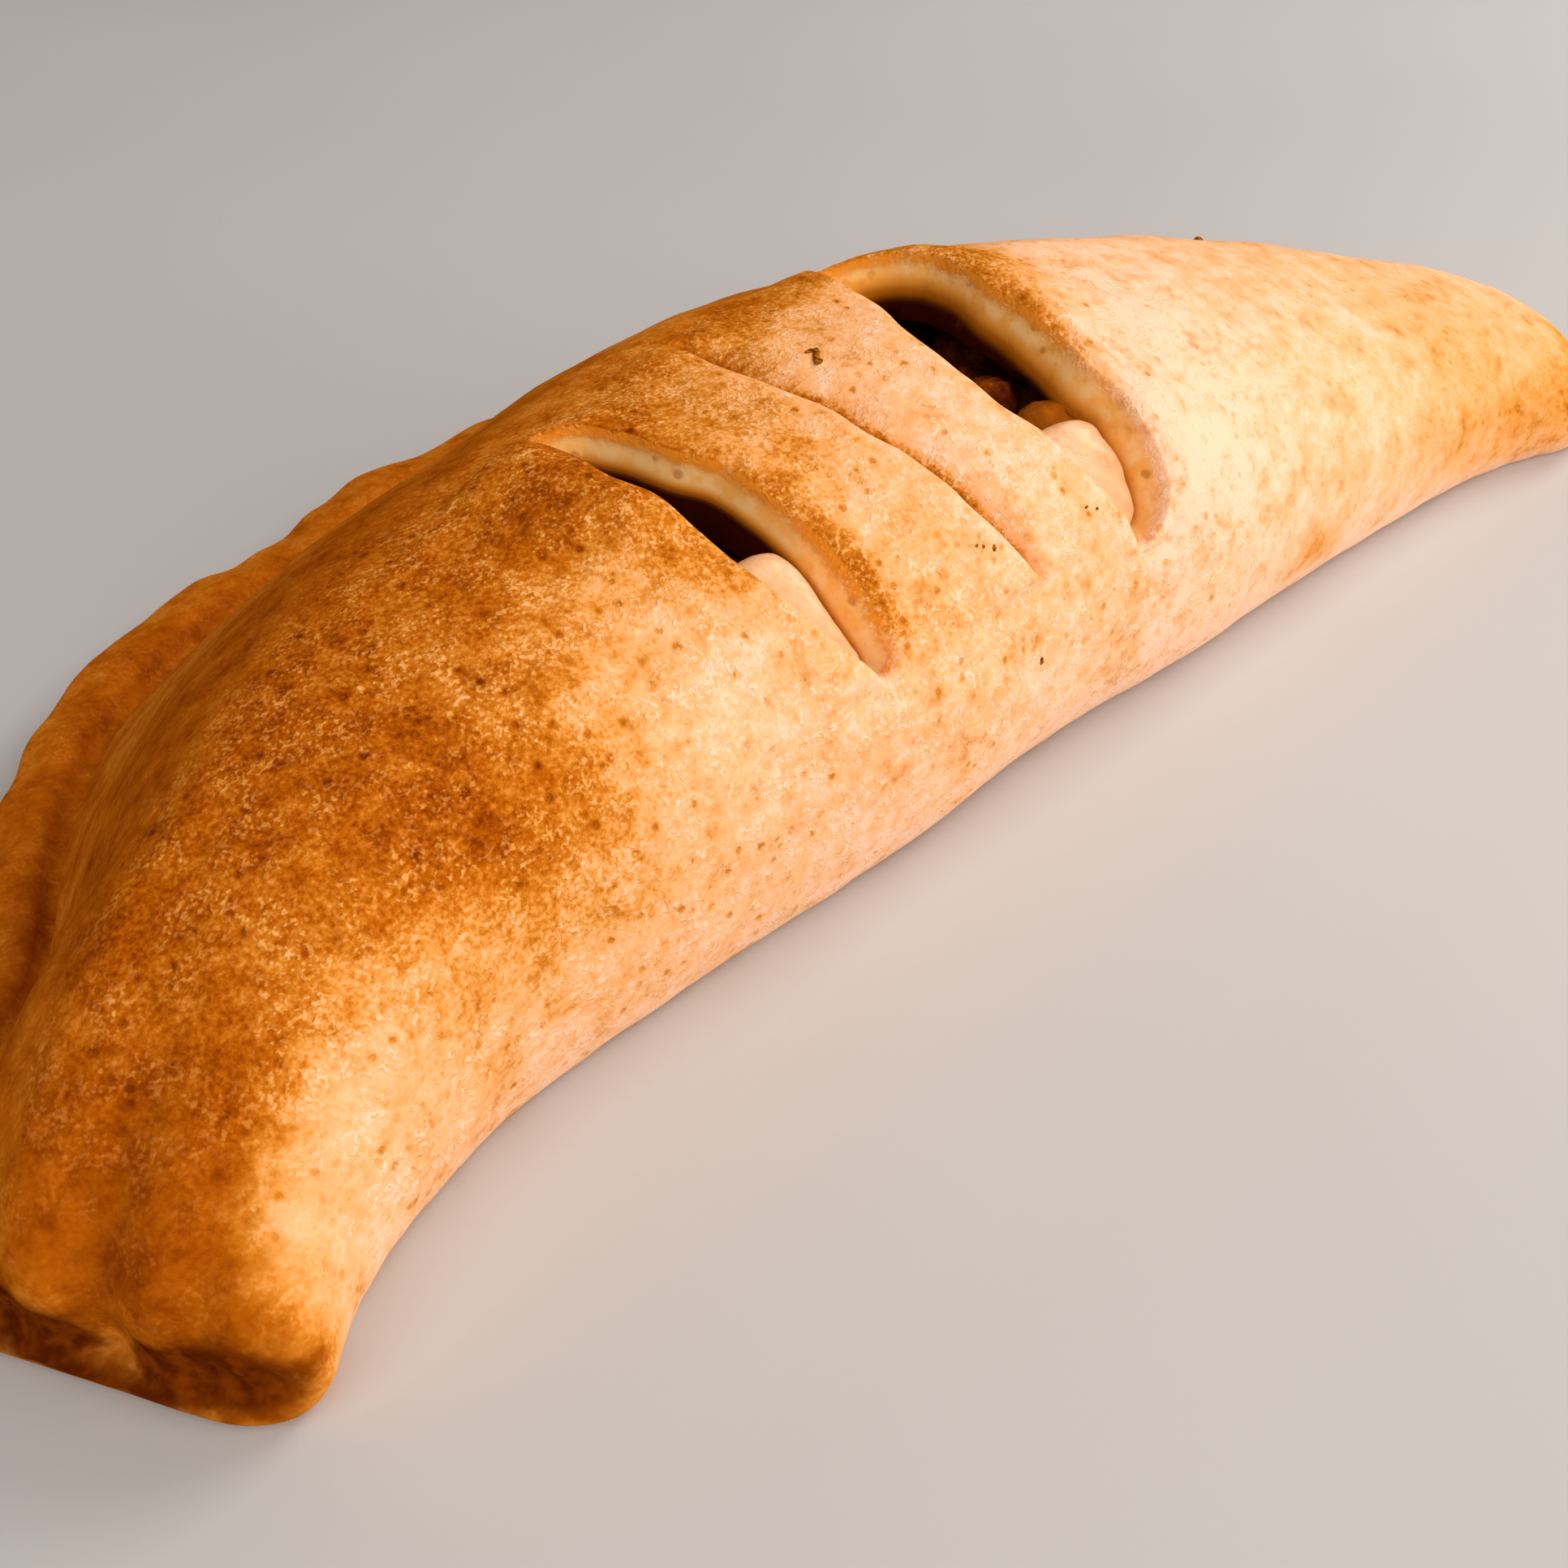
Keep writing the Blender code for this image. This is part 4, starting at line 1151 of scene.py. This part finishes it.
# slit, share of its length, share of its opening, depth under the skin, radius (millimetres)
CRUMBLES = (
    ("left", 0.86, 0.3, 9.5, 4.2), ("left", 0.76, 0.75, 12, 4.5), ("left", 0.64, 0.3, 14, 4.5),
    ("left", 0.55, 0.85, 14.5, 4), ("right", 0.8, 0.25, 15, 4.6), ("right", 0.7, 0.7, 15, 5.2),
    ("right", 0.6, 0.86, 12, 4.4), ("right", 0.55, 0.5, 13, 4.6), ("right", 0.43, 0.86, 8.8, 4),
    ("right", 0.48, 0.3, 13.8, 4.8), ("right", 0.88, 0.6, 13, 4.4), ("right", 0.62, 0.28, 15, 4.4),
)
AMBER = 8  # one of them is amber
CUT_SHARE_USED, SQUASH = 0.2, (1.0, 1.0, 0.78)


def crumble(row, seed):
    """A lumpy ball in a slit, flatter than it is wide."""
    name, share, side, depth, radius = row
    slit = SLITS[name]
    around = slit.front + share * (slit.back - slit.front)
    wide = (slit.hole + CUT_SHARE_USED * slit.wall) * slit_lens(slit, around)
    along = near_lip(slit, around) + side * wide / LENGTH
    centre = plain_skin(along, around) - outward(along, around) * depth / 1000 + SHIFT
    return centre + radius / 1000 * lumpy_ball(14, 20, crumbly_noise, 2.2, 7, seed * 7.7) * SQUASH


shells = [crumble(row, seed) for seed, row in enumerate(CRUMBLES)]
amber = np.repeat(np.arange(len(shells)) == AMBER, shells[0][..., 0].size)
lumps = rings_piece("meat_crumbles", shells, {"amber": amber})
for piece in (meat, lumps):
    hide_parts("filling")
    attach(piece, "root")


# %% The filling's finish
def meat_filling():
    finish = Finish("meat_filling")
    chunk, grain = finish.noise(0.0035, 2.0), finish.noise(0.0009, 2.0, 0.6)
    # the meat's own dark red-brown, darkened further as painted shade for the meat down in the
    # slits
    colour = finish.ramp(
        chunk + 0.5 * (grain - 0.5), (0.3, (0.05, 0.005, 0.001)),
        (0.5, (0.13, 0.017, 0.001)), (0.64, (0.24, 0.045, 0.002)),
        (0.85, (0.45, 0.14, 0.004)))
    colour = finish.mix(0.75 * finish.field("amber"), colour, (0.42, 0.115, 0.003))
    return finish.close(colour, 0.5 + 0.3 * grain, 0.5 * chunk + 0.5 * grain, 0.0004,
                        Specular_IOR_Level=0.04)


filling_finish = meat_filling()
for piece in (meat, lumps):
    piece.data.materials.append(filling_finish)
print("crumbles:", len(CRUMBLES))

# %% [markdown]
# ## Flecks
#
# A few dark specks of herb and pepper stuck to the dough, and one crumb stands on the ridge. They
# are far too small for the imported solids, but the eye finds them at once.

# %% Specks and a crumb
# along, around, half length, half width (millimetres), turn (degrees)
SPECKS = (
    (0.4472, 0.429, 2.4, 0.5, 42), (0.4484, 0.434, 1, 0.4, -15), (0.4452, 0.424, 0.6, 0.4, 20),
    (0.423, 0.25, 0.3, 0.2, 20), (0.426, 0.247, 0.3, 0.2, 60), (0.431, 0.242, 0.5, 0.3, 60),
    (0.498, 0.233, 0.4, 0.2, 0), (0.445, 0.137, 0.6, 0.3, 80), (0.504, 0.228, 0.3, 0.2, 0),
    (0.743, 0.502, 1.1, 0.7, 15),
)
SPECK_FLAT = 0.8


def speck(row, seed):
    """A flat lumpy ball in the skin's own plane, half sunk."""
    along, around, long_half, wide_half, turn = row
    up, ahead = outward(along, around), towards_tip(along)
    ahead = ahead - up * (ahead @ up)
    ahead /= np.linalg.norm(ahead)
    turn = math.radians(turn)
    run = math.cos(turn) * ahead + math.sin(turn) * np.cross(up, ahead)
    axes = np.array((long_half * run, wide_half * np.cross(up, run), SPECK_FLAT * wide_half * up))
    ball = lumpy_ball(8, 10, lattice_noise, 2.0, 9, seed * 5.1)
    return skin_point(along, around) + ball @ axes / 1000


flecks = rings_piece("flecks", [speck(row, seed) for seed, row in enumerate(SPECKS)])
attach(flecks, "root")


def dark_fleck():
    finish = Finish("dark_fleck")
    grain = finish.noise(0.0004)
    colour = finish.ramp(grain, (0.35, (0.06, 0.014, 0.001)),
                         (0.6, (0.45, 0.14, 0.008)))
    return finish.close(colour, 0.6 + 0.2 * grain, grain, 0.0001, Specular_IOR_Level=0.0)


flecks.data.materials.append(dark_fleck())

# %% [markdown]
# ## Floor, light and colour
#
# On a plain pale floor, a warm lamp from the right models the form and throws a soft shadow to
# the left. A broad one in front, one from behind on the left and a dim warm sky lighten the
# shadows. The plain Standard view keeps the cream as bright as it is in the photograph.

# %% Floor
FLOOR_HALF, FLOOR_DROP = 3.0, 0.0001


def plain_floor():
    mesh = bpy.data.meshes.new("floor")
    mesh.from_pydata([(x * FLOOR_HALF, y * FLOOR_HALF, -FLOOR_DROP) for x, y in (
        (-1, -1), (1, -1), (1, 1), (-1, 1))], [], [(0, 1, 2, 3)])
    finish = Finish("pale_floor")
    cloud = finish.noise(0.25)
    colour = finish.ramp(cloud, (0.3, (0.5, 0.49, 0.5)), (0.7, (0.54, 0.53, 0.54)))
    mesh.materials.append(finish.close(colour, 0.6, cloud, 0.0))
    return add_item("floor", mesh)


plain_floor()
print("floor:", 2 * FLOOR_HALF, "m wide")

# %% Lamps and sky
# name, azimuth and elevation in degrees, distance and size in metres, power in watts
LAMPS = (("window", -8, 38, 1.2, 0.55, 7.6), ("bounce", -72, 20, 1.2, 1.0, 11.6),
         ("fill", 205, 48, 1.4, 1.2, 10.0))
LAMP_COLOUR = (1.0, 0.93, 0.85)
SKY, SKY_STRENGTH = (1.0, 0.93, 0.86, 1.0), 0.22


def add_lamp(name, azimuth, elevation, distance, size, power):
    """A square area lamp on a sphere round the loaf, turned to its middle."""
    lamp = bpy.data.lights.new(name, "AREA")
    lamp.size, lamp.energy, lamp.color = size, power, LAMP_COLOUR
    turn, tilt = math.radians(azimuth), math.radians(elevation)
    reach, up = distance * math.cos(tilt), distance * math.sin(tilt)
    add_item(name, lamp, (reach * math.cos(turn), reach * math.sin(turn), up),
             (math.pi / 2 - tilt, 0, turn + math.pi / 2))


for lamp in LAMPS:
    add_lamp(*lamp)
sky = bpy.data.worlds.new("sky")
sky.use_nodes = True
sky.node_tree.nodes["Background"].inputs["Color"].default_value = SKY
sky.node_tree.nodes["Background"].inputs["Strength"].default_value = SKY_STRENGTH
bpy.context.scene.world = sky
bpy.context.scene.view_settings.view_transform = "Standard"
print("lamps:", len(LAMPS))
